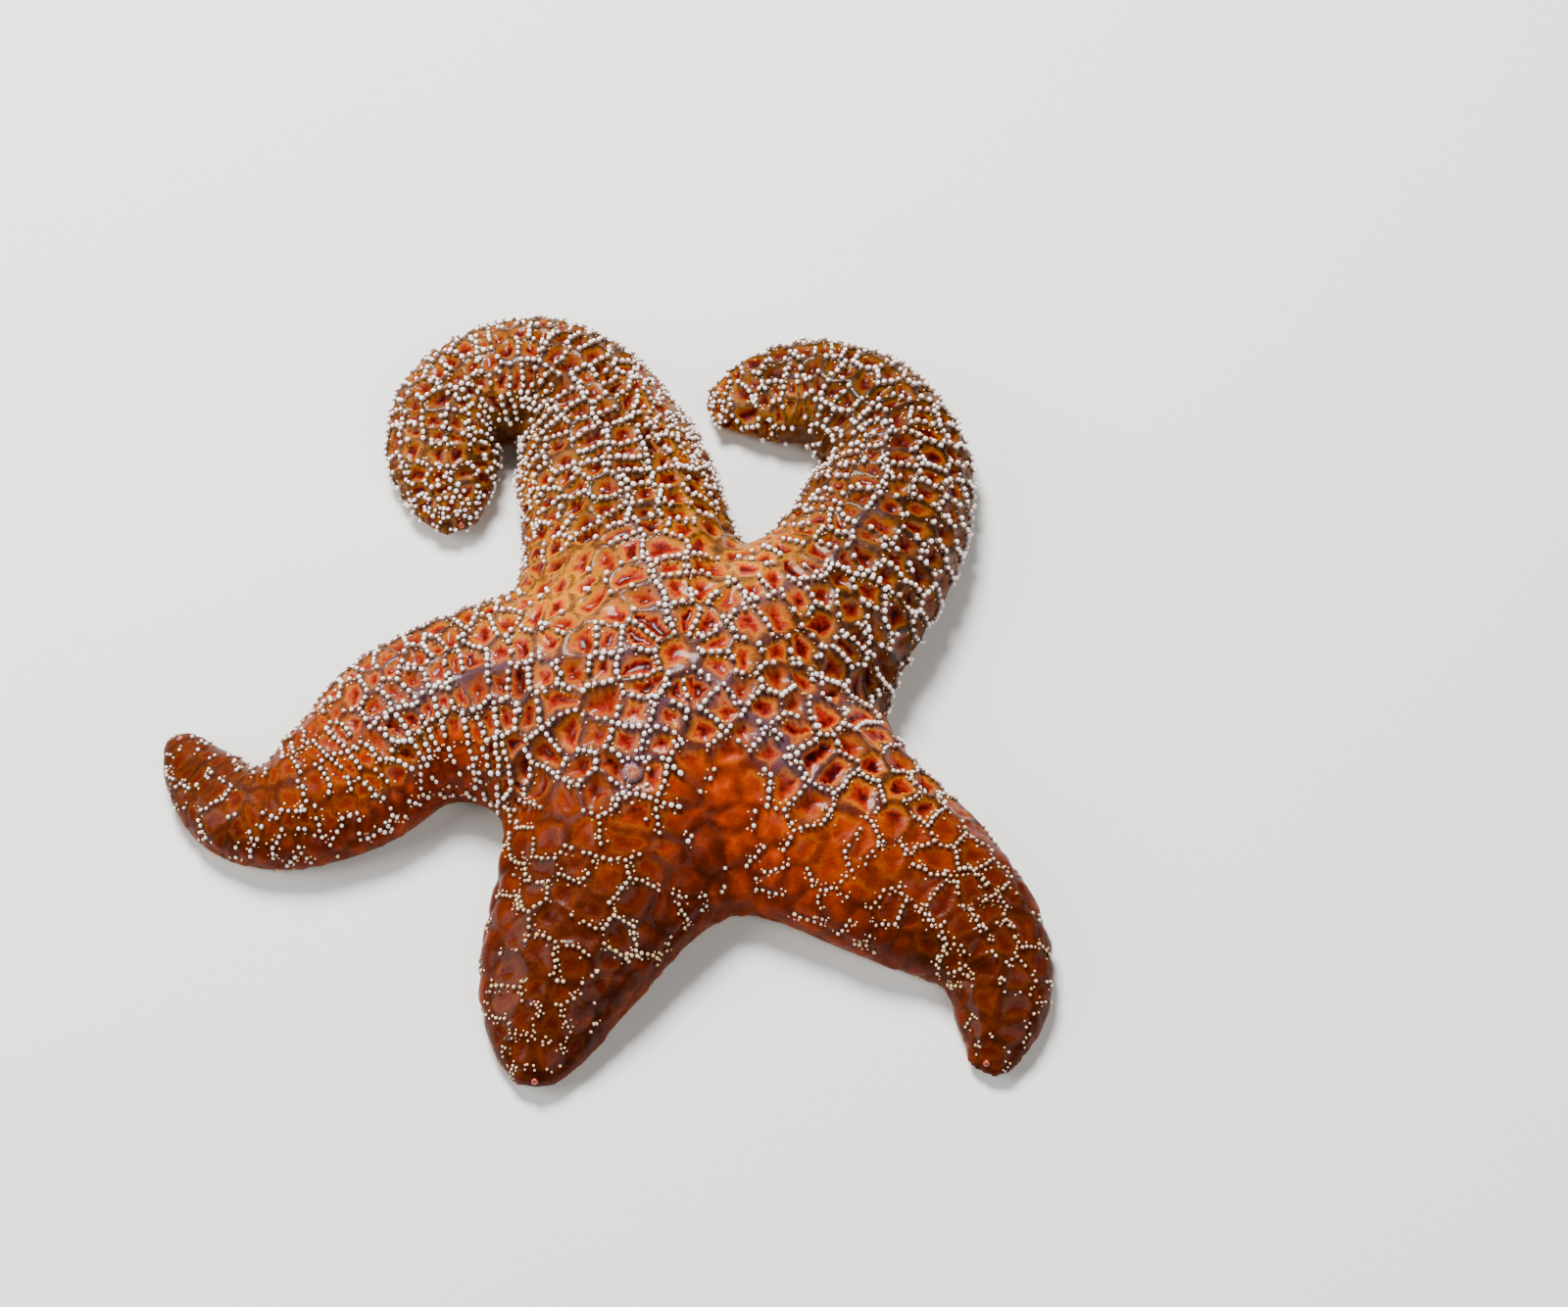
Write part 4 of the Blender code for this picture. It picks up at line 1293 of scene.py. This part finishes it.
class SEASTAR_OT_skin(bpy.types.Operator):
    """Build the one skin that stands for the parted flesh"""

    bl_idname = "sea_star.skin"
    bl_label = "Skin"

    def execute(self, context):
        settings = context.scene.sea_star.skin
        skin = build_ground(settings)
        mesh = skin.data
        ground = Ground(mesh)
        points, normals, faces = ground.points, ground.normals, faces_of(mesh)
        regions = Regions(ground, points, normals)
        plates = Plates(ground, regions, points, normals, faces)

        edge, size = plates.edge, np.clip(plates.size, 1.8, 4.5)
        open_side = 1 - regions.under
        pit = 1 - np.exp(-((edge / (0.62 * size)) ** 1.7))
        swell = regions.swell
        tone = np.random.default_rng(2).random(len(plates.seeds))[plates.cell]
        depth = settings.pit_depth / MM * (0.55 + 0.65 * tone) * (1 - 1.08 * swell)
        depth *= (1 - 0.55 * regions.bare) * (1 - 0.8 * regions.end)
        rough = patchy(points, 2.6, 30) * 0.22 * (1 - 0.6 * swell) + patchy(points, 5.5, 31) * 0.30
        rough += patchy(points, 14, 32) * 0.55 + patchy(points, 1.7, 34) * 0.10
        sink = depth * pit * open_side + 0.50 * swell * np.exp(-((edge / 1.3) ** 2)) * open_side
        moved = points - normals * (sink - rough * open_side)[:, None]
        moved[:, 2] = np.maximum(moved[:, 2], LOWEST)
        uv = unwrap_skin(skin, normals, faces)
        set_corners(mesh, moved)
        mesh.polygons.foreach_set("use_smooth", np.ones(len(mesh.polygons), bool))

        soft = np.maximum(swell, 0.72 * regions.front * smooth((swell - 0.2) / 0.2))
        fields = {
            "pit": pit,
            "soft": soft,
            "tone": tone,
            "gold": regions.gold,
            "lilac": regions.lilac,
            "swell": swell,
            # painted shade: the low flanks and the folds inside a curl
            "flank": np.maximum(regions.flank, regions.curl),
            "dusk": regions.dusk,
            "under": regions.under * smooth((1.0 - regions.share) / 0.05),
            # where the creases between the swollen cobbles get painted shade
            "crease": swell * np.exp(-((edge / 1.3) ** 2)) * (0.6 + 0.5 * patchy(points, 6, 33)).clip(0, 1),
        }
        for name, values in fields.items():
            set_value(mesh, name, values)
        found.update(ground=ground, regions=regions, plates=plates, fields=fields, uv=uv, moved=moved)
        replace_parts(own(skin, skin_material()), *FLESH)
        return {"FINISHED"}


def in_halves(name, look, shape, places, axes, sizes, shades, roots):
    """Two joined meshes, each of every other copy, so that neither has too many faces."""
    half = np.arange(len(places)) % 2 == 0
    for label, mine in (("a", half), ("b", ~half)):
        part = {key: values[mine] for key, values in shades.items()}
        piece = copies(f"{name}_{label}", shape, places[mine], axes[mine], sizes[mine], part, roots[mine])
        own(piece, look)


def stand_spines(spines, settings, draw):
    """The spines' bare heads, their sheaths and the wreaths of pincers round their feet."""
    places, normals, index, sizes, turns = spines
    fields, regions, roots = found["fields"], found["regions"], found["uv"][index]
    count, swell = len(places), fields["swell"][index]
    axes = facing(normals, turns, tilt=0.16, seed=6)
    up = axes[:, :, 2]
    tall = settings.height / MM * (0.82 + 0.18 * sizes / 1.4) * draw.uniform(0.85, 1.1, count)
    tall *= regions.fineness[index] * (1 - 0.15 * swell)
    long = draw.uniform(0.92, 1.22, count)
    shades = {name: fields[name][index] for name in ("gold", "lilac", "swell", "soft", "dusk")}
    shades["pit"] = np.full(count, 0.12)  # sheaths are coloured as skin near a ridge
    shades["tone"] = draw.random(count)
    warm = 0.75 * swell * draw.random(count) + 0.5 * (draw.random(count) < 0.06)
    warm += (0.35 + 0.4 * draw.random(count)) * fields["dusk"][index] * regions.front[index]
    shades["warm"] = np.clip(warm, 0, 1)

    head = np.stack([sizes * long, sizes / np.sqrt(long), sizes * 0.92], axis=1)
    tops = places + up * (tall - 0.40 * sizes)[:, None]
    in_halves("spine_heads", head_material(), head_shape(), tops, axes, head, shades, roots)
    rooted = 0.45  # mm of each sheath below the skin
    peg = np.stack([sizes * 0.78, sizes * 0.78, tall - 0.45 * sizes + rooted], axis=1)
    piece = copies("spine_stalks", stalk_shape(), places - up * rooted, axes, peg, shades, roots)
    own(piece, stalk_material())
    ring = np.stack([sizes * 1.3, sizes * 1.3, sizes * draw.uniform(0.8, 1.1, count)], axis=1)
    feet = places + up * 0.06
    in_halves("pincer_wreaths", collar_material(), collar_shape(), feet, axes, ring, shades, roots)


def scatter(name, group, look, draw):
    """The small grains or tufts between the spines."""
    places, normals, index, sizes, turns = group
    axes = facing(normals, turns, tilt=0.1, seed=9)
    shades = {"tone": draw.random(len(places))}
    size = np.stack([sizes, sizes, sizes * 0.8], axis=1)
    lifted = places + axes[:, :, 2] * (0.10 * sizes)[:, None]
    own(copies(name, grain_shape(), lifted, axes, size, shades, found["uv"][index]), look)


class SEASTAR_OT_spines(bpy.types.Operator):
    """Stand the chains of spines, their wreaths of pincers and the small granules on the skin"""

    bl_idname = "sea_star.spines"
    bl_label = "Spines"

    def execute(self, context):
        settings = context.scene.sea_star.spines
        spines, grains, tufts = place_spines(found["plates"], skin_tree(), settings)
        draw = np.random.default_rng(17)
        stand_spines(spines, settings, draw)
        scatter("granules", grains, grain_material(), draw)
        scatter("pincer_tufts", tufts, tuft_material(), draw)
        return {"FINISHED"}


def lathe_cap(name, width, tall, segments, rings):
    """A low dome in mm at the origin, facing up, from a sphere squashed flatter below."""
    bpy.ops.mesh.primitive_uv_sphere_add(segments=segments, ring_count=rings, radius=0.5 * MM)
    piece = bpy.context.active_object
    piece.name = piece.data.name = name
    points = corners_of(piece.data)
    points[:, :2] *= width
    points[:, 2] *= np.where(points[:, 2] > 0, 2 * tall, tall)
    return piece, points


def set_down(piece, points, place, normal):
    """Turns a dome's points to face a normal and moves them to their place."""
    axes = facing(np.array([normal]), np.array([[1.0, 0.2, 0.0]]))[0]
    set_corners(piece.data, points @ axes.T + place)
    piece.data.polygons.foreach_set("use_smooth", np.ones(len(piece.data.polygons), bool))


class SEASTAR_OT_plate(bpy.types.Operator):
    """Make the grooved sieve plate beside the disc's middle"""

    bl_idname = "sea_star.plate"
    bl_label = "Sieve plate"

    def execute(self, context):
        settings = context.scene.sea_star.small
        place, normal, _, _ = skin_tree().find_nearest(Vector(centre_of("madreporite")))
        wide = settings.plate_width / MM
        piece, points = lathe_cap("sieve_plate", wide, 0.95, 72, 36)
        out = np.linalg.norm(points[:, :2], axis=1) / (wide / 2)
        turn = np.arctan2(points[:, 1], points[:, 0])
        wave = np.cos(17 * turn + 2.2 * patchy(points, 1.1, 41)) * smooth(out * 2.2) * smooth((1.08 - out) / 0.25)
        top = smooth(points[:, 2] / 0.2)
        points[:, 2] += 0.13 * wave * top - 0.22 * np.exp(-((out / 0.35) ** 2)) * top
        points[:, :2] *= (1 + 0.05 * np.cos(3 * turn + 0.5) + 0.03 * np.cos(9 * turn) * out)[:, None]
        set_value(piece.data, "rim", smooth((out - 0.45) / 0.4))
        # where the grooves get painted shade
        set_value(piece.data, "groove", 0.75 * smooth(-wave) * top)
        set_down(piece, points, np.array(place) + 0.25 * np.array(normal), normal)
        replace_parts(own(piece, plate_material()), "madreporite")
        return {"FINISHED"}


class SEASTAR_OT_eyes(bpy.types.Operator):
    """Make the scarlet eye spot at the tip of each arm"""

    bl_idname = "sea_star.eyes"
    bl_label = "Eye spots"

    def execute(self, context):
        settings = context.scene.sea_star.small
        tree, look = skin_tree(), eye_material()
        for name in ARMS:
            node = f"eyespot_{name}"
            place, normal, _, _ = tree.find_nearest(Vector(centre_of(node)))
            piece, points = lathe_cap(f"eye_cushion_{name}", settings.eye_width / MM, 0.55, 20, 12)
            points *= 1 + 0.05 * patchy(points, 0.4, 43)[:, None]
            set_down(piece, points, np.array(place) + 0.12 * np.array(normal), normal)
            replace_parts(own(piece, look), node)
        return {"FINISHED"}


class SEASTAR_OT_mouth(bpy.types.Operator):
    """Make the folded membrane of the mouth"""

    bl_idname = "sea_star.mouth"
    bl_label = "Mouth"

    def execute(self, context):
        wide = 7.4
        piece, points = lathe_cap("mouth_folds", wide, 0.9, 60, 24)
        out = np.linalg.norm(points[:, :2], axis=1) / (wide / 2)
        turn = np.arctan2(points[:, 1], points[:, 0])
        fold = np.cos(15 * turn + 1.5 * patchy(points, 2, 44))
        top = smooth(points[:, 2] / 0.2)
        points[:, 2] += top * (0.16 * fold * smooth(out * 1.6) - 1.3 * np.exp(-((out / 0.26) ** 2)))
        set_value(piece.data, "rim", smooth((out - 0.15) / 0.4))
        set_down(piece, points, centre_of("mouth"), (0.0, 0.0, -1.0))
        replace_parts(own(piece, mouth_material()), "mouth")
        return {"FINISHED"}


class Belly:
    """The underside, measured on the finished skin: tube feet in the grooves, and spines beside them."""

    def __init__(self, tree, ground, finder):
        self.tree, self.ground, self.finder = tree, ground, finder
        self.draw = random.Random(31)
        self.stubs, self.slim = Spots(0.9), Spots(0.8)  # the belly's spines and the grooves'

    def under(self, k, along, aside):
        """Where the skin is met from below, its normal there and the arm's direction."""
        line = self.ground.lines[k]
        ahead = np.array([np.interp(along, line.steps, line.heading[:, n]) for n in (0, 1)])
        middle = np.array([np.interp(along, line.steps, line.points[:, n]) for n in (0, 1)])
        x, y = middle + aside * np.array([-ahead[1], ahead[0]])
        hit, normal, _, _ = self.tree.ray_cast(Vector((x, y, BELOW)), UPWARD)
        return hit, normal, ahead

    def roots(self, places):
        """Where on the skin's OFBake map the spines at some places stand."""
        return found["uv"][[self.finder.find(place)[1] for place in places]]

    def foot_rows(self, k, settings):
        """Four rows of tube feet, from the groove's roof down to the ground."""
        draw, reach, spacing = self.draw, self.ground.lines[k].length, settings.foot_spacing / MM
        tops, leans = [], []
        for n in range(int((0.88 * reach - FEET_FROM) / spacing)):
            along = FEET_FROM + n * spacing
            half = GROOVE_HALF * (1 - GROOVE_TAPER * along / reach)
            for row, share in enumerate((-0.86, -0.30, 0.30, 0.86)):
                stagger = 0.5 * spacing * (row % 2)
                hit, _, _ = self.under(k, along + stagger, share * half + draw.uniform(-0.15, 0.15))
                if hit and 1.5 < hit.z < 14:
                    tops.append((hit.x, hit.y, hit.z + 0.4))
                    leans.append((draw.gauss(0, 0.07), draw.gauss(0, 0.07), 1.0))
        tops = np.array(tops)
        wide = settings.foot_width / MM * np.array([draw.uniform(0.85, 1.1) for _ in tops])
        tone = np.array([draw.random() for _ in tops])
        places = np.column_stack([tops[:, :2], np.full(len(tops), 0.22)])
        sizes = np.column_stack([wide, wide, tops[:, 2]])
        axes = facing(unit(np.array(leans)), seed=k)
        return copies(f"foot_rows_{ARMS[k]}", foot_shape(), places, axes, sizes, {"tone": tone}, self.roots(tops))

    def line_groove(self, k, side):
        """Two rows of slim spines along one lip of a groove, that lean over it."""
        reach = self.ground.lines[k].length
        along = 12.0
        while along < 0.95 * reach:
            lip = GROOVE_LIP * (1 - GROOVE_TAPER * along / reach)
            for row, gap in enumerate((0.2, 1.7)):
                hit, _, ahead = self.under(k, along + 0.7 * row, side * (lip + gap))
                if hit and hit.z < 3.2:
                    self.slim.add(np.array(hit), 0.9, (ahead[1] * side, -ahead[0] * side, 0.0))
            along += 1.45

    def stud_belly(self, k, side):
        """Rows of short spines from the groove out to the arm's edge."""
        draw, reach = self.draw, self.ground.lines[k].length
        for n, gap in enumerate(np.arange(3.6, 30, 2.3)):
            along = 13.0 + (n % 2) * 1.1
            while along < 0.97 * reach:
                lip = GROOVE_LIP * (1 - GROOVE_TAPER * along / reach)
                aside = side * (lip + gap + draw.uniform(-0.3, 0.3))
                hit, normal, ahead = self.under(k, along + draw.uniform(-0.3, 0.3), aside)
                nearest = self.ground.locate(np.array([[*hit]]))[0][0] if hit else -1
                if hit and normal.z < -0.75 and hit.z < 2.4 and nearest == k and draw.random() < 0.93:
                    self.stubs.add(np.array(hit), 1.15 * draw.uniform(0.8, 1.1), (*ahead, 0.0))
                along += 2.2

    def set_jaws(self):
        """Pairs of longer spines between the grooves, that point at the mouth."""
        lines = self.ground.lines
        for line, beside in zip(lines, [*lines[1:], lines[0]]):
            way = unit(line.heading[8] + beside.heading[8])
            for out in (5.2, 6.9, 8.6, 10.3):
                for side in (-1, 1):
                    aside = side * (0.25 + 0.17 * out) * np.array([-way[1], way[0]])
                    x, y = self.ground.centre + way * out + aside
                    hit = self.tree.ray_cast(Vector((x, y, BELOW)), UPWARD)[0]
                    if hit:
                        self.slim.add(np.array(hit), 0.9, (-way[0], -way[1], 0.0))

    def stand(self, name, shape, spots, places, axes, sizes, seed, lowest):
        """One joined mesh of spines, none of them lower than a height in mm."""
        tones = {"tone": np.random.default_rng(seed).random(len(places))}
        piece = copies(name, shape, places, axes, sizes, tones, self.roots(spots.places))
        points = corners_of(piece.data)
        points[:, 2] = np.maximum(points[:, 2], lowest)
        set_corners(piece.data, points)
        return piece

    def belly_spines(self):
        """Short blunt spines that the animal stands on."""
        stubs = self.stubs
        places, sizes, turns = np.array(stubs.places), np.array(stubs.sizes), np.array(stubs.turns)
        axes = facing(np.tile([0.0, 0.0, -1.0], (len(places), 1)), turns, tilt=0.12, seed=12)
        tall = np.minimum(places[:, 2] + 0.15, 1.25)
        size = np.stack([sizes, sizes, 1.9 * tall], axis=1)
        middles = places + np.array([0, 0, 0.12])
        return self.stand("belly_spines", head_shape(), stubs, middles, axes, size, seed=3, lowest=0.03)

    def groove_spines(self):
        """Slim spines that lean over the grooves and the mouth."""
        slim = self.slim
        places, turns = np.array(slim.places), np.array(slim.turns)
        lean = unit(turns * 1.0 + np.array([0, 0, -0.28]))
        axes = facing(lean, np.tile([0.0, 0.0, 1.0], (len(places), 1)), tilt=0.14, seed=13)
        size = np.tile([0.78, 0.78, 2.5], (len(places), 1))
        rooted = places - lean * 0.4
        return self.stand("groove_spines", stalk_shape(), slim, rooted, axes, size, seed=5, lowest=0.08)


class SEASTAR_OT_underside(bpy.types.Operator):
    """Make the rows of tube feet, the spines along their grooves and of the jaws, and the short spines between"""

    bl_idname = "sea_star.underside"
    bl_label = "Underside"

    def execute(self, context):
        ground, look = found["ground"], foot_material()
        belly = Belly(skin_tree(), ground, finder_of(found["moved"]))
        for k in range(len(ARMS)):
            piece = belly.foot_rows(k, context.scene.sea_star.small)
            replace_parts(own(piece, look), f"tube_feet_{ARMS[k]}")
            for side in (-1, 1):
                belly.line_groove(k, side)
                belly.stud_belly(k, side)
        belly.set_jaws()
        look = belly_spine_material()
        for piece in (belly.belly_spines(), belly.groove_spines()):
            own(piece, look)
        return {"FINISHED"}


class SEASTAR_OT_stage(bpy.types.Operator):
    """Set the floor, the soft lights and the camera"""

    bl_idname = "sea_star.stage"
    bl_label = "Stage"

    def execute(self, context):
        settings = context.scene.sea_star.stage
        deselect()
        bpy.ops.mesh.primitive_plane_add(size=24.0, location=(0, 0, 0))
        floor = context.active_object
        floor.name = floor.data.name = "floor"
        made, tree, shader, place, _ = material("pale_matt_board", Roughness=0.85)
        cloudy = add(tree, "TexNoise", Vector=place, Scale=per(40.0), Detail=3.0, Roughness=0.55)
        cloudy = add(tree, "Math", cloudy, 0.08, operation="MULTIPLY")
        pale = (*settings.floor, 1)
        finish(shader, add(tree, "Mix", cloudy, pale, "#C9C8C4", **COLOURS))
        floor.data.materials.append(made)

        for name, place, size, share in (  # soft round lamps: where, how wide in metres and how much of the key
            ("key", (-0.25, 0.75, 1.0), 0.45, 1.0),
            ("fill", (0.7, -0.7, 0.9), 0.9, 0.16),
            ("side", (-0.9, -0.1, 0.6), 0.7, 0.20),
        ):
            lamp = bpy.data.lights.new(name, "AREA")
            lamp.shape, lamp.size, lamp.energy = "DISK", size, settings.key * share
            made = bpy.data.objects.new(name, lamp)
            context.collection.objects.link(made)
            made.location = place
            made.rotation_euler = (-Vector(place)).to_track_quat("-Z", "Y").to_euler()
        world = bpy.data.worlds.new("studio")
        world.use_nodes = True
        backdrop = world.node_tree.nodes["Background"].inputs
        backdrop["Color"].default_value, backdrop["Strength"].default_value = (*linear("#EDEFF2"), 1), 0.19
        context.scene.world = world

        aim = Vector((0.0396, 0.0110, 0.0))  # the middle of the view, to one side of the animal
        lens = bpy.data.cameras.new("camera")
        lens.lens, lens.sensor_width = settings.lens, 36.0
        camera = bpy.data.objects.new("camera", lens)
        context.collection.objects.link(camera)
        back = Vector((0, -math.cos(settings.elevation), math.sin(settings.elevation)))
        camera.location = aim + back * settings.distance
        camera.rotation_euler = (math.pi / 2 - settings.elevation, 0, 0)
        context.scene.camera = camera
        return {"FINISHED"}


class SEASTAR_PT_panel(bpy.types.Panel):
    """Lists the pieces of the sea star"""

    bl_idname = "SEASTAR_PT_panel"
    bl_label = "Sea star"
    bl_space_type = "VIEW_3D"
    bl_region_type = "UI"
    bl_category = "Sea star"

    def draw(self, context):
        settings = context.scene.sea_star
        for group in (settings.skin, settings.spines, settings.small, settings.stage):
            for name in group.__annotations__:
                self.layout.prop(group, name)
        for operator in PIECES:
            self.layout.operator(operator.bl_idname)


PIECES = (
    SEASTAR_OT_skin,
    SEASTAR_OT_spines,
    SEASTAR_OT_plate,
    SEASTAR_OT_eyes,
    SEASTAR_OT_mouth,
    SEASTAR_OT_underside,
    SEASTAR_OT_stage,
)
CLASSES = (SkinSettings, SpineSettings, SmallSettings, StageSettings, SeaStarSettings, *PIECES, SEASTAR_PT_panel)


def register():
    for made in CLASSES:
        bpy.utils.register_class(made)
    bpy.types.Scene.sea_star = PointerProperty(type=SeaStarSettings)


def unregister():
    del bpy.types.Scene.sea_star
    for made in reversed(CLASSES):
        bpy.utils.unregister_class(made)


def main():
    """Makes every piece once."""
    register()
    bpy.ops.sea_star.stage()
    bpy.ops.sea_star.skin()
    bpy.ops.sea_star.spines()
    bpy.ops.sea_star.plate()
    bpy.ops.sea_star.eyes()
    bpy.ops.sea_star.mouth()
    bpy.ops.sea_star.underside()
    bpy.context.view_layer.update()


if __name__ == "__main__":
    main()
